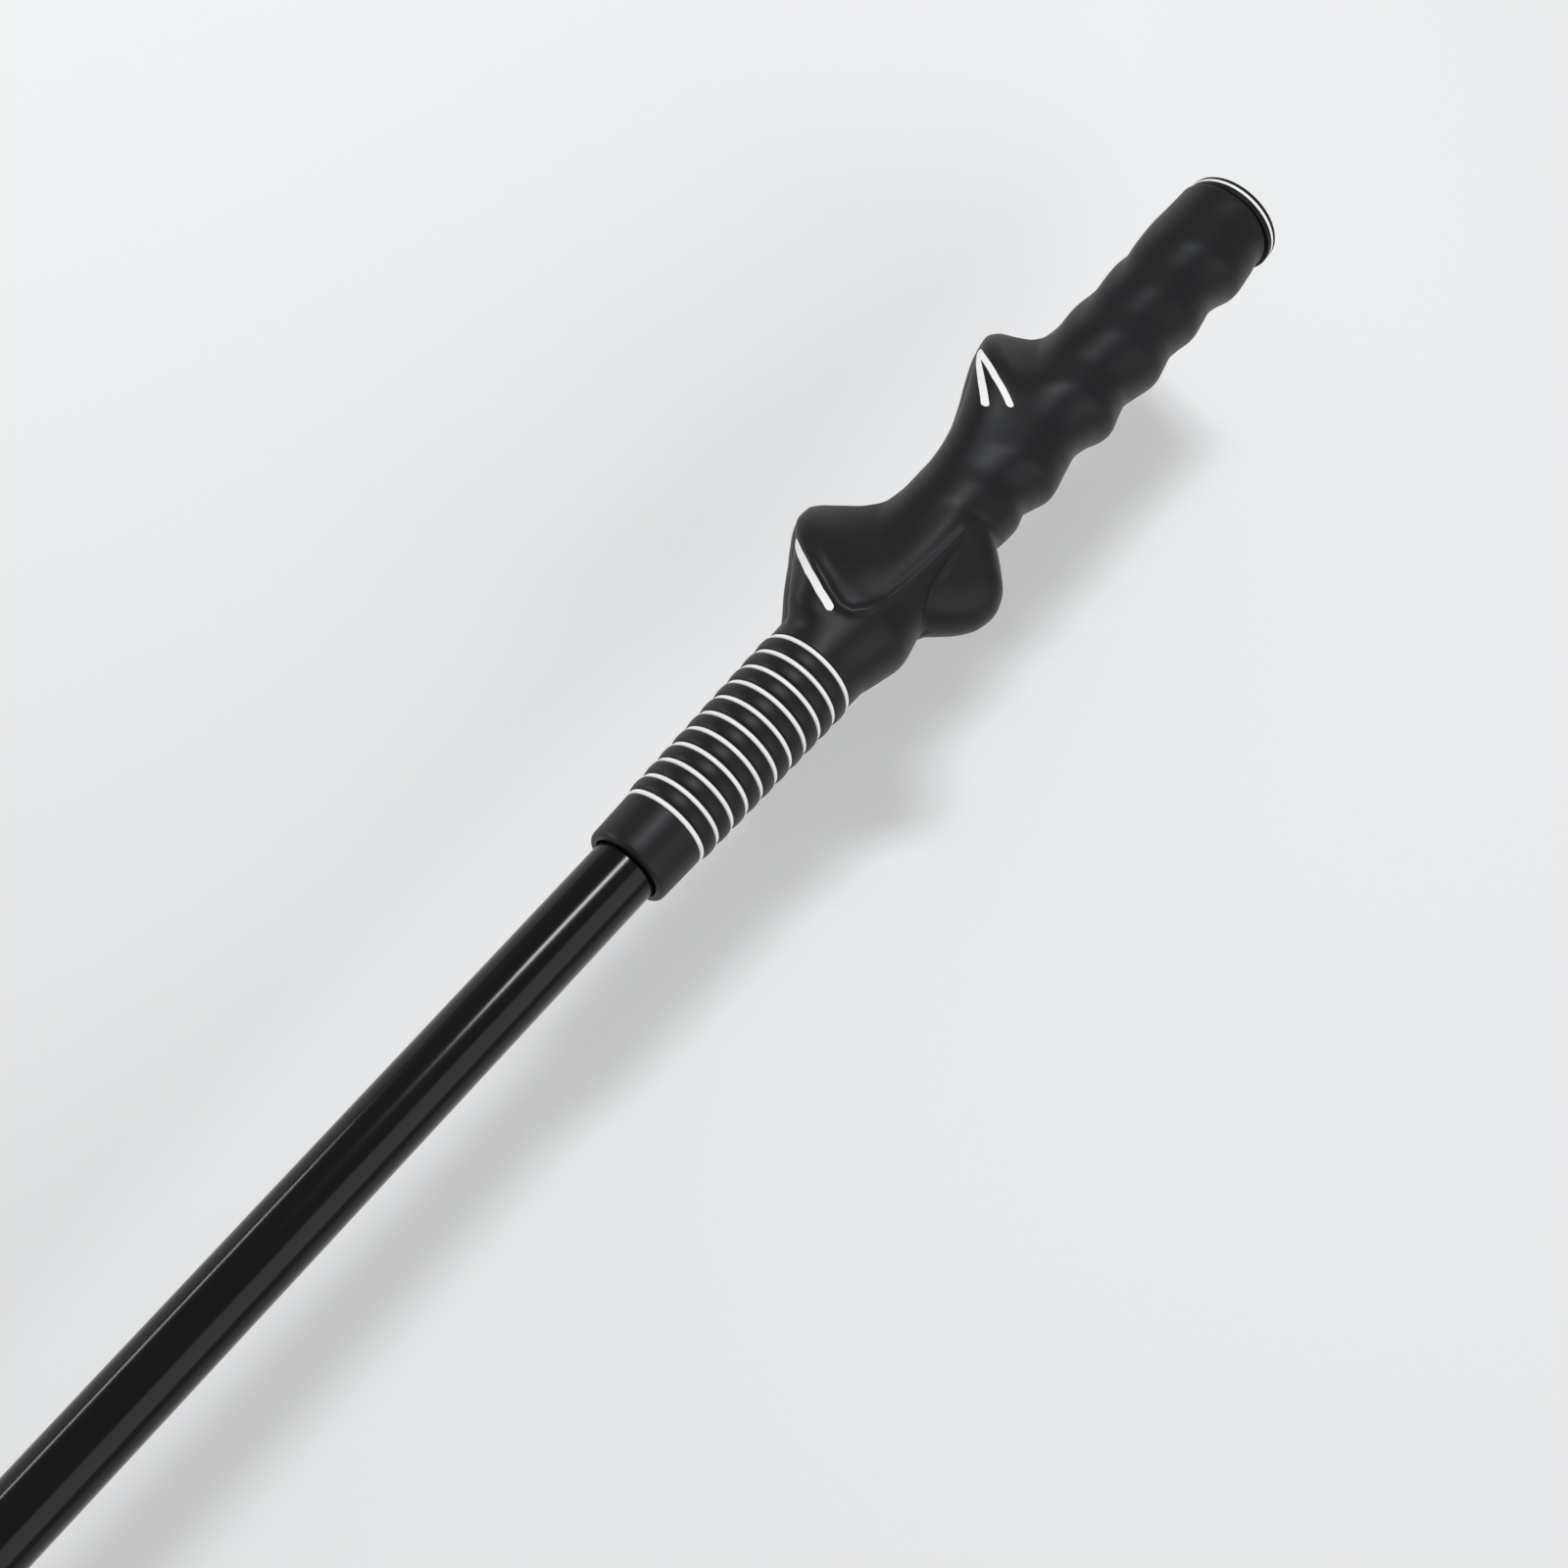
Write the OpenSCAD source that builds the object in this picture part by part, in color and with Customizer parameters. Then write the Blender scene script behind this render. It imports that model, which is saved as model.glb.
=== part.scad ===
// Telescopic golf ball retriever, stowed and lying on its side.
// X runs along the shaft from the butt face (x = 0) to the ball cup, Z is up,
// the thumb crests of the moulded grip point to -Y and its finger trigger to +Y.

/* [Grip] */
// Length of the moulded grip, butt face to mouth
grip_len = 277; // [260:1:340]
// Rubber thickness over the tube in the handle zone
grip_wall = 6.3; // [5:0.1:8]
// Rubber thickness over the tube at the mouth collar
collar_wall = 3.0; // [2.2:0.1:4.5]
// Length of the plain collar at the mouth
collar_len = 15; // [8:1:20]
// Thickness of the butt cap
cap_t = 4; // [3:0.5:6]
// Spacing of the grooves in the ribbed zone
rib_pitch = 5.9; // [4.5:0.1:8]
// Depth of those grooves
rib_depth = 0.9; // [0.4:0.1:1.2]
// Width of the white rings
ring_w = 1.0; // [0.6:0.1:1.4]
// How far the white rings lie below the skin
ring_sunk = 0.2; // [0.1:0.05:0.3]
// Height of the upper thumb crest above the handle
upper_crest_h = 11.9; // [6:0.1:15]
// Height of the lower thumb crest above the handle
lower_crest_h = 14.6; // [6:0.1:18]
// Height of the index finger trigger above the handle
trigger_h = 10.8; // [5:0.1:15]

/* [Tubes] */
// Outside diameter of the outer tube
outer_od = 19; // [15.5:0.1:24]
// Wall of every tube
tube_wall = 0.9; // [0.6:0.05:1.2]
// Length of the outer tube
outer_len = 626; // [520:1:800]
// Wall of the sliding bushes
bush_wall = 1.0; // [0.8:0.1:1.4]
// Length of the sliding bushes
bush_len = 40; // [20:1:60]

/* [Twist locks] */
// Wall of the lock body over its tube
lock_wall = 3.2; // [2.4:0.1:4.5]
// Length of the lock body on its tube
lock_len = 26; // [20:1:36]
// Wall of the nut over the lock thread
nut_wall = 2.6; // [2:0.1:4]
// Grip flutes round the nut
flutes = 14; // [8:1:20]
// Length of the split collet
collet_len = 14; // [9:1:18]
// Angle of the collet cone
collet_angle = 5; // [3:0.5:8]

/* [Head] */
// Diameter of a golf ball
ball_d = 42.7; // [35:0.1:52]
// Room between ball and cup wall, where a raised bail lies
ball_gap = 5.6; // [5:0.1:9]
// Wall of the cup
cup_wall = 3.6; // [3:0.1:5]
// Height of the cup
cup_h = 34; // [28:1:44]
// Diameter of the bail wire
wire_d = 2; // [1.6:0.1:2.6]
// Width left open between the two bails
bail_gap = 17; // [10:1:24]
// Diameter of the neck hinge bolt
bolt_d = 5; // [4:0.5:6]
// Thickness of the neck arm at the hinge
tongue_t = 8; // [6:0.5:11]
// Thickness of each fork ear
ear_t = 4; // [3:0.5:6]

/* [Fits] */
// Radial clearance of sliding tubes and turning nuts
slide_gap = 0.1; // [0.05:0.01:0.1]
// Radial clearance of pins in their holes
pin_gap = 0.08; // [0.03:0.01:0.1]
// Clearance between parts that move past each other
free_gap = 0.3; // [0.2:0.05:0.5]
// Gap between the stowed sections
stow_gap = 5; // [3:1:10]

/* [Hidden] */
$fn = 96;
eps = 0.01;

// Nested tube radii: each section rides in the next on a bush.
outer_r = outer_od / 2;
outer_bore = outer_r - tube_wall;
middle_r = outer_bore - slide_gap - bush_wall;
middle_bore = middle_r - tube_wall;
inner_r = middle_bore - slide_gap - bush_wall;
inner_bore = inner_r - tube_wall;

// Grip radii.
handle_r = outer_r + grip_wall;
collar_r = outer_r + collar_wall;

// Stations of the grip, measured from the butt face.
finger_ridges = [-4, 20.5, 41, 61, 84, 112, 130, 146];
finger_depths = [2.0, 2.3, 1.8, 2.2, 2.9, 1.9, 1.4];
finger_lean = 5;
upper_crest_x = 88.5;
upper_rise = 15;
upper_fall = 38;
lower_crest_x = 167;
lower_rise = 24;
lower_fall = 26;
palm_sweep = 17;
far_sweep = 9;
trigger_x = 153.5;
trigger_run = 17;
neck_x = 181;
neck_run = 14;
neck_bump = 2.4;
neck_drop = 1.2;
ribs_start = 197;
ribs_end = grip_len - collar_len;
rib_count = floor((ribs_end - ribs_start) / rib_pitch);
groove_flank = 0.4;
overlap = 5;
join_step = 1.1;
grip_step = 3;
grip_sides = 40;

// Butt cap: its rim, and the groove of its white ring.
cap_rim = handle_r - 0.6;
cap_socket_r = outer_r + 2;
cap_lip = 1.3;
cap_groove = 0.6;
vent_r = 1.3;

// Stations along the shaft.
spigot_len = 10;
outer_start = cap_t + 3;
outer_end = outer_start + outer_len;
thread_len = 14;
thread_pitch = 3.2;
thread_grooves = 4;
thread_step = 1.4;
flange_t = 3;
collet_t = 2.4;
wiper_t = 2.2;
wiper_len = 4.5;
nut_end = flange_t + collet_len + 9;
middle_start = outer_start + 27;
middle_end = outer_end + nut_end + stow_gap + lock_len;
inner_start = middle_start + 18;
ferrule_start = middle_end + nut_end + stow_gap;
ferrule_len = 30;
inner_end = ferrule_start + ferrule_len - 4;
socket_r = inner_r + 2.3;
hinge_x = ferrule_start + ferrule_len + 19;

// Head.
rest_z = -handle_r;
cup_r = ball_d / 2 + ball_gap;
cup_outer = cup_r + cup_wall;
saddle_t = 4;
saddle_angle = 62;
saddle_h = 20;
eye_r = bolt_d / 2 + 4.5;
ear_r = eye_r + 0.5;
cup_x = hinge_x + ear_r + 6 + saddle_t + cup_outer;
cup_bottom = rest_z;
bail_z = cup_bottom + 5.5;
wire_r = wire_d / 2;
bail_pivot_y = cup_r - wire_r - 2.2;
ledge_r = ball_d / 2 + 0.2;
bail_leg_x = wire_r + 7;
bail_reach = bail_pivot_y - bail_gap / 2 - wire_r;
pivot_chord = sqrt(cup_r * cup_r - bail_pivot_y * bail_pivot_y);
pivot_len = pivot_chord + 2;
screw_r = 1.5;
screw_z = eye_r - screw_r - 1;
screw_len = 7;
screw_head_r = 2.9;
fork_half = tongue_t / 2 + free_gap + ear_t;
washer_r = eye_r - 1;
washer_t = 1;
insert_r = bolt_d / 2 + 1.6;
rivet_r = 1.5;
knob_r = 9;
knob_t = 11;
knob_y = fork_half + washer_t + free_gap / 2;
knob_hole = knob_t - 3;
bolt_head_t = 3;
bolt_reach = knob_y + knob_hole - 1;

// ---------------------------------------------------------------- helpers

// Places children, drawn along +Z, along +X from station x.
module along_x(x) translate([x, 0, 0]) rotate([0, 90, 0]) children();

// A plain round bar along X.
module bar_x(x, r, len) along_x(x) cylinder(r = r, h = len);

// A plain round bar along Y, centred on y = 0.
module bar_y(x, z, r, len)
    translate([x, 0, z]) rotate([90, 0, 0]) cylinder(r = r, h = len, center = true);

// A solid of revolution about X; points are [radius, x].
module turned(points) rotate([0, 90, 0]) rotate_extrude() polygon(points);

// A tube along X.
module pipe(x, len, r_out, r_in) turned([[r_in, x], [r_out, x], [r_out, x + len], [r_in, x + len]]);

// Hump that is 1 at the middle and 0 at lo before and hi after it.
function hump(d, lo, hi, p) = d < -lo || d > hi ? 0 : pow(cos(90 * d / (d < 0 ? lo : hi)), p);

// ------------------------------------------------------------------- grip

// One cosine dip of the given depth between stations a and b.
function dip(x, a, b, depth) = depth * (1 - cos(360 * (x - a) / (b - a))) / 2;

// Depth of the finger grooves at station x: a dip between each two ridges.
function groove(x, i = 0) =
    i >= len(finger_depths) || x < finger_ridges[0] ? 0
    : x < finger_ridges[i + 1] ? dip(x, finger_ridges[i], finger_ridges[i + 1], finger_depths[i])
    : groove(x, i + 1);

// Fade from 1 before station a to 0 after station b.
function fade(x, a, b) = x < a ? 1 : x > b ? 0 : (1 + cos(180 * (x - a) / (b - a))) / 2;

// Plain radius under the modelled features: handle, then the taper of the ribbed zone.
function core_r(x) =
    x < neck_x ? handle_r
    : collar_r + (handle_r - neck_drop - collar_r) * (ribs_end - x) / (ribs_end - neck_x)
        + neck_drop * fade(x, neck_x, ribs_start);

// How far a crest runs back towards the mouth at angle a: further on the side of the right palm.
function sweep(a) =
    a < 180 ? palm_sweep * sin(min(90, 1.5 * a)) : far_sweep * sin(min(90, 1.5 * (360 - a)));

// Radius of the grip at station x and angle a, 0 at the thumb crests and 180 at the trigger.
function grip_r(x, a) =
    let (thumb = max(0, cos(a)), finger = max(0, -cos(a)), sweep = sweep(a))
    core_r(x)
    - groove(x - finger_lean * pow(sin(a), 2)) * (0.65 - 0.35 * cos(a))
    + upper_crest_h * hump(x - upper_crest_x - sweep, upper_rise, upper_fall, 2.2) * pow(thumb, 3)
    + lower_crest_h * hump(x - lower_crest_x - sweep, lower_rise, lower_fall, 1.6) * pow(thumb, 3)
        * fade(x, neck_x + 2, ribs_start - grip_step)
    + trigger_h * hump(x - trigger_x, trigger_run, trigger_run, 1) * pow(finger, 3)
    + neck_bump * hump(x - neck_x, neck_run, neck_run, 1.5) * finger;

// Skin of the contoured zone, from the cap to the start of the ribs.
module contour() {
    x0 = cap_t;
    x1 = ribs_start;
    n = ceil((x1 - x0) / grip_step);
    m = grip_sides;
    ring = function (x, shrink) [
        for (j = [0 : m - 1])
            let (a = 360 * j / m, r = grip_r(x, a) - shrink) [x, -r * cos(a), r * sin(a)]
    ];
    points = [for (i = [0 : n]) each ring(x0 + (x1 - x0) * i / n, i == n ? 2 * join_step : 0)];
    sides = [
        for (i = [0 : n - 1], j = [0 : m - 1])
            let (p = i * m + j, q = i * m + (j + 1) % m) each [[p, q + m, p + m], [p, q, q + m]]
    ];
    ends = [
        for (j = [1 : m - 2]) [0, j + 1, j],
        for (j = [1 : m - 2]) [n * m, n * m + j, n * m + j + 1]
    ];
    polyhedron(points = points, faces = concat(sides, ends), convexity = 6);
}

// Station of white ring k, counted from the neck.
function ring_x(k) = ribs_end - (rib_count - k) * rib_pitch + rib_pitch - 1;

// Ribbed zone and mouth collar, a true solid of revolution.
module ribs() {
    lip = 1.2;
    half = ring_w / 2;
    edge = half + groove_flank;
    profile = [
        [outer_r, ribs_start - overlap],
        [core_r(ribs_start) - join_step, ribs_start - overlap],
        for (k = [0 : rib_count - 1], s = [[-edge, 0], [-half, 1], [half, 1], [edge, 0]])
            let (x = ring_x(k) + s[0]) [core_r(x) - s[1] * rib_depth, x],
        [collar_r, ribs_end + groove_flank],
        [collar_r, grip_len - lip],
        [collar_r - lip, grip_len],
        [outer_r, grip_len]
    ];
    turned(profile);
}

// White rings let into the ribbed zone, and one in the groove of the butt cap.
module white_rings() {
    half = ring_w / 2;
    color("#f2f2f0") {
        for (k = [0 : rib_count - 1]) let (a = ring_x(k) - half, b = ring_x(k) + half)
            turned([
                [core_r(a) - rib_depth, a], [core_r(a) - ring_sunk, a],
                [core_r(b) - ring_sunk, b], [core_r(b) - rib_depth, b]
            ]);
        pipe(cap_lip, ring_w, cap_rim - ring_sunk, cap_rim - cap_groove);
    }
}

module grip_sleeve() {
    color("#1c1c1e") difference() {
        union() {
            contour();
            ribs();
        }
        bar_x(-1, outer_r, grip_len + 2);
        bar_x(-1, cap_socket_r, outer_start + 1);
    }
}

// Butt cap: a disc with a ring groove, a spigot in the tube and the usual vent hole.
module butt_cap() {
    lip = 0.5;
    spigot_end = outer_start + spigot_len;
    color("#161617") turned([
        [vent_r, 0], [cap_rim - lip, 0], [cap_rim, lip],
        [cap_rim, cap_lip], [cap_rim - cap_groove, cap_lip],
        [cap_rim - cap_groove, cap_lip + ring_w], [cap_rim, cap_lip + ring_w], [cap_rim, cap_t],
        [cap_socket_r, cap_t], [cap_socket_r, outer_start], [outer_bore, outer_start],
        [outer_bore, spigot_end - 1], [outer_bore - 1, spigot_end], [vent_r, spigot_end]
    ]);
}

// ------------------------------------------------------------------ tubes

module outer_tube() color("#0b0b0c") pipe(outer_start, outer_len, outer_r, outer_bore);

// Rubber ring the stowed sections close against, open in the middle so that air can leave.
module stow_bumper() {
    length = 8;
    wall = 5;
    color("#2b2b2d") pipe(outer_start + spigot_len + 2, length, outer_bore, outer_bore - wall);
}

module middle_tube() color("#b9bcc0") pipe(middle_start, middle_end - middle_start, middle_r, middle_bore);

module inner_tube() color("#c4c7cb") pipe(inner_start, inner_end - inner_start, inner_r, inner_bore);

// Sliding bush on a section's upper end: it guides the section and stops it at full reach.
module bush(x, r_tube, r_bore) {
    r_out = r_bore - slide_gap;
    color("#e9e6de") turned([
        [r_tube, x], [r_out - 0.4, x], [r_out, x + 1], [r_out, x + bush_len - 1],
        [r_out - 0.4, x + bush_len], [r_tube, x + bush_len]
    ]);
}

module middle_bush() bush(middle_start, middle_r, outer_bore);
module inner_bush() bush(inner_start, inner_r, middle_bore);

// ------------------------------------------------------------ twist locks

// Lock body on a tube that ends at x: bonded sleeve, thread and the flange that stops the bush.
module lock_body(x, r_big, r_small) {
    r_thread = r_big + lock_wall - thread_step;
    r_out = r_big + lock_wall;
    back = x - lock_len;
    collar = x - thread_len;
    crests = [for (k = [0 : thread_grooves - 1], s = [[0, 0], [0.8, 0.6], [1.6, 0.6], [2.4, 0]])
        [r_thread - s[1], collar + 1 + thread_pitch * k + s[0]]];
    color("#19191b") turned(concat(
        [[r_big, back], [r_out - 1, back], [r_out, back + 1], [r_out, collar - 0.6], [r_out - 0.6, collar],
         [r_thread, collar]],
        crests,
        [[r_thread, x + flange_t], [r_small + slide_gap, x + flange_t],
         [r_small + slide_gap, x], [r_big, x]]
    ));
}

// Split collet that the nut's cone closes on the smaller tube.
module collet(x, r_small) {
    x0 = x + flange_t;
    x1 = x0 + collet_len;
    bore = r_small + pin_gap;
    r0 = bore + collet_t;
    slit = 2;
    color("#e9e6de") difference() {
        turned([[bore, x0], [r0, x0], [r0 - collet_len * tan(collet_angle), x1], [bore, x1]]);
        translate([x0 - 1, -slit / 2, 0]) cube([collet_len + 2, slit, r0 + 1]);
    }
}

// Fluted twist nut, with a seat for the wiper in its mouth.
module twist_nut(x, r_big, r_small) {
    r_thread = r_big + lock_wall - thread_step + slide_gap;
    r_out = r_thread + nut_wall;
    back = x - thread_len + free_gap;
    cone0 = x + flange_t + free_gap;
    cone1 = cone0 + collet_len;
    r0 = r_small + pin_gap + collet_t + free_gap;
    r1 = r0 - collet_len * tan(collet_angle);
    throat = r_small + free_gap;
    front = x + nut_end;
    nose = r_small + wiper_t + 1.4;
    flute_r = 1.5;
    flute_from = back + 5;
    flute_to = front - 7;
    color("#1d1d1f") difference() {
        turned([
            [r_thread, back], [r_out - 0.8, back], [r_out, back + 0.8], [r_out, flute_to + 2],
            [nose + 0.6, front - 0.6], [nose, front],
            [r_small + wiper_t, front], [r_small + wiper_t, front - wiper_len], [throat, front - wiper_len],
            [throat, cone1 + 0.4], [r1, cone1 + 0.2], [r0, cone0], [r_thread, cone0]
        ]);
        for (k = [0 : flutes - 1])
            rotate([360 * k / flutes, 0, 0]) translate([flute_from, 0, r_out + 0.6])
                rotate([0, 90, 0]) cylinder(r = flute_r, h = flute_to - flute_from, $fn = 32);
    }
}

// Rubber wiper in the nut's mouth, which keeps grit out of the lock.
module wiper(x, r_small) {
    front = x + nut_end;
    bore = r_small + slide_gap;
    color("#2b2b2d") turned([
        [bore, front - wiper_len], [r_small + wiper_t, front - wiper_len], [r_small + wiper_t, front],
        [bore + 1.3, front + 0.6], [bore, front + 0.2]
    ]);
}

module lock_body_1() lock_body(outer_end, outer_r, middle_r);
module collet_1() collet(outer_end, middle_r);
module twist_nut_1() twist_nut(outer_end, outer_r, middle_r);
module wiper_1() wiper(outer_end, middle_r);
module lock_body_2() lock_body(middle_end, middle_r, inner_r);
module collet_2() collet(middle_end, inner_r);
module twist_nut_2() twist_nut(middle_end, middle_r, inner_r);
module wiper_2() wiper(middle_end, inner_r);

// ------------------------------------------------------------- neck hinge

// Socket on the inner tube that carries the hinge fork.
module fork_ferrule() {
    x0 = ferrule_start;
    x1 = x0 + ferrule_len;
    slot = tongue_t / 2 + free_gap;
    color("#19191b") difference() {
        union() {
            turned([
                [0, x0], [socket_r - 1, x0], [socket_r, x0 + 1], [socket_r, x1 - 3],
                [socket_r + 1, x1], [socket_r + 1, x1 + 3], [0, x1 + 3]
            ]);
            for (s = [-1, 1]) translate([0, s * (slot + ear_t / 2), 0]) {
                bar_y(hinge_x, 0, ear_r, ear_t);
                translate([x1, -ear_t / 2, -ear_r]) cube([hinge_x - x1, ear_t, 2 * ear_r]);
            }
        }
        bar_x(x0 - 1, inner_r, inner_end - x0 + 1);
        bar_y(hinge_x, 0, bolt_d / 2, 4 * fork_half);
        bar_y(x0 + ferrule_len / 2, 0, rivet_r, 4 * socket_r);
        translate([x1 + 3, -slot, -2 * ear_r]) cube([hinge_x, 2 * slot, 4 * ear_r]);
    }
}

// Cross rivet through ferrule and tube, domed at both ends.
module ferrule_rivet() {
    x = ferrule_start + ferrule_len / 2;
    color("#c8cacd") difference() {
        union() {
            bar_y(x, 0, rivet_r, 2 * socket_r);
            for (s = [-1, 1]) translate([x, s * (socket_r - 0.35), 0]) rotate([-90 * s, 0, 0])
                cylinder(r1 = rivet_r + 1, r2 = rivet_r, h = 1);
        }
        difference() {
            bar_x(x - 5, inner_r, 10);
            bar_x(x - 5, inner_bore, 10);
        }
        difference() {
            bar_x(x - 5, socket_r, 10);
            bar_x(x - 5, inner_r, 10);
            bar_y(x, 0, rivet_r, 4 * socket_r);
        }
    }
}

// Hinge bolt: hexagon head on the -Y ear, thread standing out of the +Y ear for the knob.
module hinge_bolt() {
    color("#c8cacd") translate([hinge_x, 0, 0]) rotate([-90, 0, 0]) {
        translate([0, 0, -fork_half - bolt_head_t]) cylinder(r = bolt_d * 0.85, h = bolt_head_t, $fn = 6);
        translate([0, 0, -fork_half - eps]) cylinder(r = bolt_d / 2, h = fork_half + bolt_reach + eps);
    }
}

// Lobed clamping knob on the +Y end of the bolt.
module thumb_knob() {
    lobes = 6;
    lobe_r = 3.6;
    foot_t = 2;
    color("#1d1d1f") translate([hinge_x, knob_y, 0]) rotate([-90, 0, 0]) difference() {
        union() {
            cylinder(r = knob_r - 3, h = foot_t);
            translate([0, 0, foot_t]) cylinder(r = knob_r, h = knob_t - foot_t - 1);
            translate([0, 0, knob_t - 1]) cylinder(r1 = knob_r, r2 = knob_r - 1, h = 1);
        }
        for (k = [0 : lobes - 1])
            rotate(360 * (k + 0.5) / lobes) translate([knob_r + 2, 0, foot_t - 0.1])
                cylinder(r = lobe_r, h = knob_t, $fn = 32);
        translate([0, 0, -1]) cylinder(r = insert_r, h = knob_hole + 1);
    }
}

// Brass insert moulded into the knob: its bore runs on the bolt.
module knob_insert() {
    color("#b5913f") translate([hinge_x, knob_y, 0]) rotate([-90, 0, 0]) difference() {
        cylinder(r = insert_r, h = knob_hole);
        translate([0, 0, -1]) cylinder(r = bolt_d / 2 + pin_gap, h = knob_t);
    }
}

// Washer between the fork ear and the knob.
module knob_washer() {
    color("#c8cacd") translate([hinge_x, fork_half, 0]) rotate([-90, 0, 0]) difference() {
        cylinder(r = washer_r, h = washer_t);
        translate([0, 0, -1]) cylinder(r = bolt_d / 2, h = washer_t + 2);
    }
}

// ------------------------------------------------------------------- head

// Arm from the hinge eye to a saddle that hugs the cup.
module neck_arm() {
    back = cup_x - cup_outer - saddle_t;
    color("#19191b") difference() {
        union() {
            bar_y(hinge_x, 0, eye_r, tongue_t);
            translate([hinge_x, -tongue_t / 2, -eye_r])
                cube([back - hinge_x + saddle_t, tongue_t, 2 * eye_r]);
            intersection() {
                translate([cup_x, 0, -saddle_h / 2]) cylinder(r = cup_outer + saddle_t, h = saddle_h);
                translate([cup_x, 0, -saddle_h]) linear_extrude(2 * saddle_h) polygon([
                    [0, 0],
                    [-2 * cup_outer, -2 * cup_outer * tan(saddle_angle / 2)],
                    [-2 * cup_outer, 2 * cup_outer * tan(saddle_angle / 2)]
                ]);
            }
        }
        translate([cup_x, 0, -saddle_h]) cylinder(r = cup_outer, h = 2 * saddle_h);
        bar_y(hinge_x, 0, bolt_d / 2 + pin_gap, 2 * tongue_t);
        for (s = [-1, 1])
            translate([cup_x - cup_outer - screw_len, 0, s * screw_z])
                along_x(0) cylinder(r = screw_r, h = screw_len + 2);
    }
}

// Two screws that hold the cup to the saddle, heads sunk in the cup wall.
module cup_screws() {
    color("#c8cacd") for (s = [-1, 1]) translate([cup_x - cup_outer, 0, s * screw_z]) along_x(0) {
        translate([0, 0, -screw_len]) cylinder(r = screw_r, h = screw_len + cup_wall - 2 + eps);
        translate([0, 0, cup_wall - 2]) cylinder(r = screw_head_r, h = 1.6);
    }
}

// Ball cup: open at both ends, with bearings and stops for the two bails and drain slots.
module cup_ring() {
    top = cup_bottom + cup_h;
    slot_w = 7;
    slot_from = bail_z + 6;
    slot_to = top - 8;
    color("#e8641b") translate([cup_x, 0, 0]) difference() {
        union() {
            rotate_extrude() polygon([
                [cup_r + 1.2, cup_bottom], [cup_outer - 0.6, cup_bottom], [cup_outer, cup_bottom + 0.6],
                [cup_outer, top - 1.2], [cup_outer - 1.2, top], [cup_r + 1.2, top],
                [cup_r, top - 1.2], [cup_r, cup_bottom + 1.2]
            ]);
            bail_stops();
        }
        for (s = [-1, 1]) translate([0, s * bail_pivot_y, bail_z]) rotate([0, 90, 0])
            cylinder(r = wire_r + pin_gap, h = 2 * pivot_len + 0.4, center = true);
        for (s = [-1, 1]) translate([-cup_outer - 1, 0, s * screw_z]) rotate([0, 90, 0]) {
            cylinder(r = screw_r, h = cup_wall + 3);
            translate([0, 0, cup_wall - 1]) cylinder(r = screw_head_r, h = 4);
        }
        for (a = [-60 : 30 : 60]) rotate(a) translate([cup_r - 3, -slot_w / 2, slot_from])
            cube([cup_wall + 6, slot_w, slot_to - slot_from]);
    }
}

// Ledges under the legs of the bails.
module bail_stops() {
    ledge_t = 2.4;
    ledge_top = bail_z - wire_r - 0.12;
    intersection() {
        difference() {
            translate([0, 0, ledge_top - ledge_t]) cylinder(r = cup_r + 1, h = ledge_t);
            translate([0, 0, ledge_top - ledge_t - 1]) cylinder(r = ledge_r, h = ledge_t + 2);
        }
        for (sx = [-1, 1], sy = [-1, 1])
            translate([sx * bail_leg_x - 2, sy > 0 ? 0 : -cup_outer, -50]) cube([4, cup_outer, 100]);
    }
}

// Wire bail on the side s of the cup: two legs, a cross bar and bent pivots.
module bail(s) {
    y0 = bail_pivot_y;
    y1 = bail_pivot_y - bail_reach;
    color("#cfd2d6") translate([cup_x, 0, bail_z]) {
        for (t = [-1, 1]) {
            translate([t * bail_leg_x, s * y0, 0]) sphere(r = wire_r);
            translate([t * bail_leg_x, s * y0, 0]) rotate([0, 90 * t, 0])
                cylinder(r = wire_r, h = pivot_len - bail_leg_x);
            translate([t * bail_leg_x, s * y1, 0]) rotate([-90 * s, 0, 0])
                cylinder(r = wire_r, h = bail_reach);
            translate([t * bail_leg_x, s * y1, 0]) sphere(r = wire_r);
        }
        translate([-bail_leg_x, s * y1, 0]) rotate([0, 90, 0]) cylinder(r = wire_r, h = 2 * bail_leg_x);
    }
}

module bail_left() bail(-1);
module bail_right() bail(1);

grip_sleeve();
butt_cap();
white_rings();
outer_tube();
stow_bumper();
lock_body_1();
collet_1();
twist_nut_1();
wiper_1();
middle_tube();
middle_bush();
lock_body_2();
collet_2();
twist_nut_2();
wiper_2();
inner_tube();
inner_bush();
fork_ferrule();
ferrule_rivet();
hinge_bolt();
thumb_knob();
knob_insert();
knob_washer();
neck_arm();
cup_ring();
cup_screws();
bail_left();
bail_right();
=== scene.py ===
"""Looks of the telescopic golf ball retriever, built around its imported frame.

X runs along the shaft from the butt, the thumb crests of the grip point to -Y, Z is up.
Sizes inside the classes are in millimetres; meshes are written in metres.
"""

import logging
import math
from dataclasses import dataclass
from enum import Enum
from typing import Iterable, Sequence

import bmesh
import bpy
import numpy as np
from mathutils import Matrix, Vector


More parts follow.
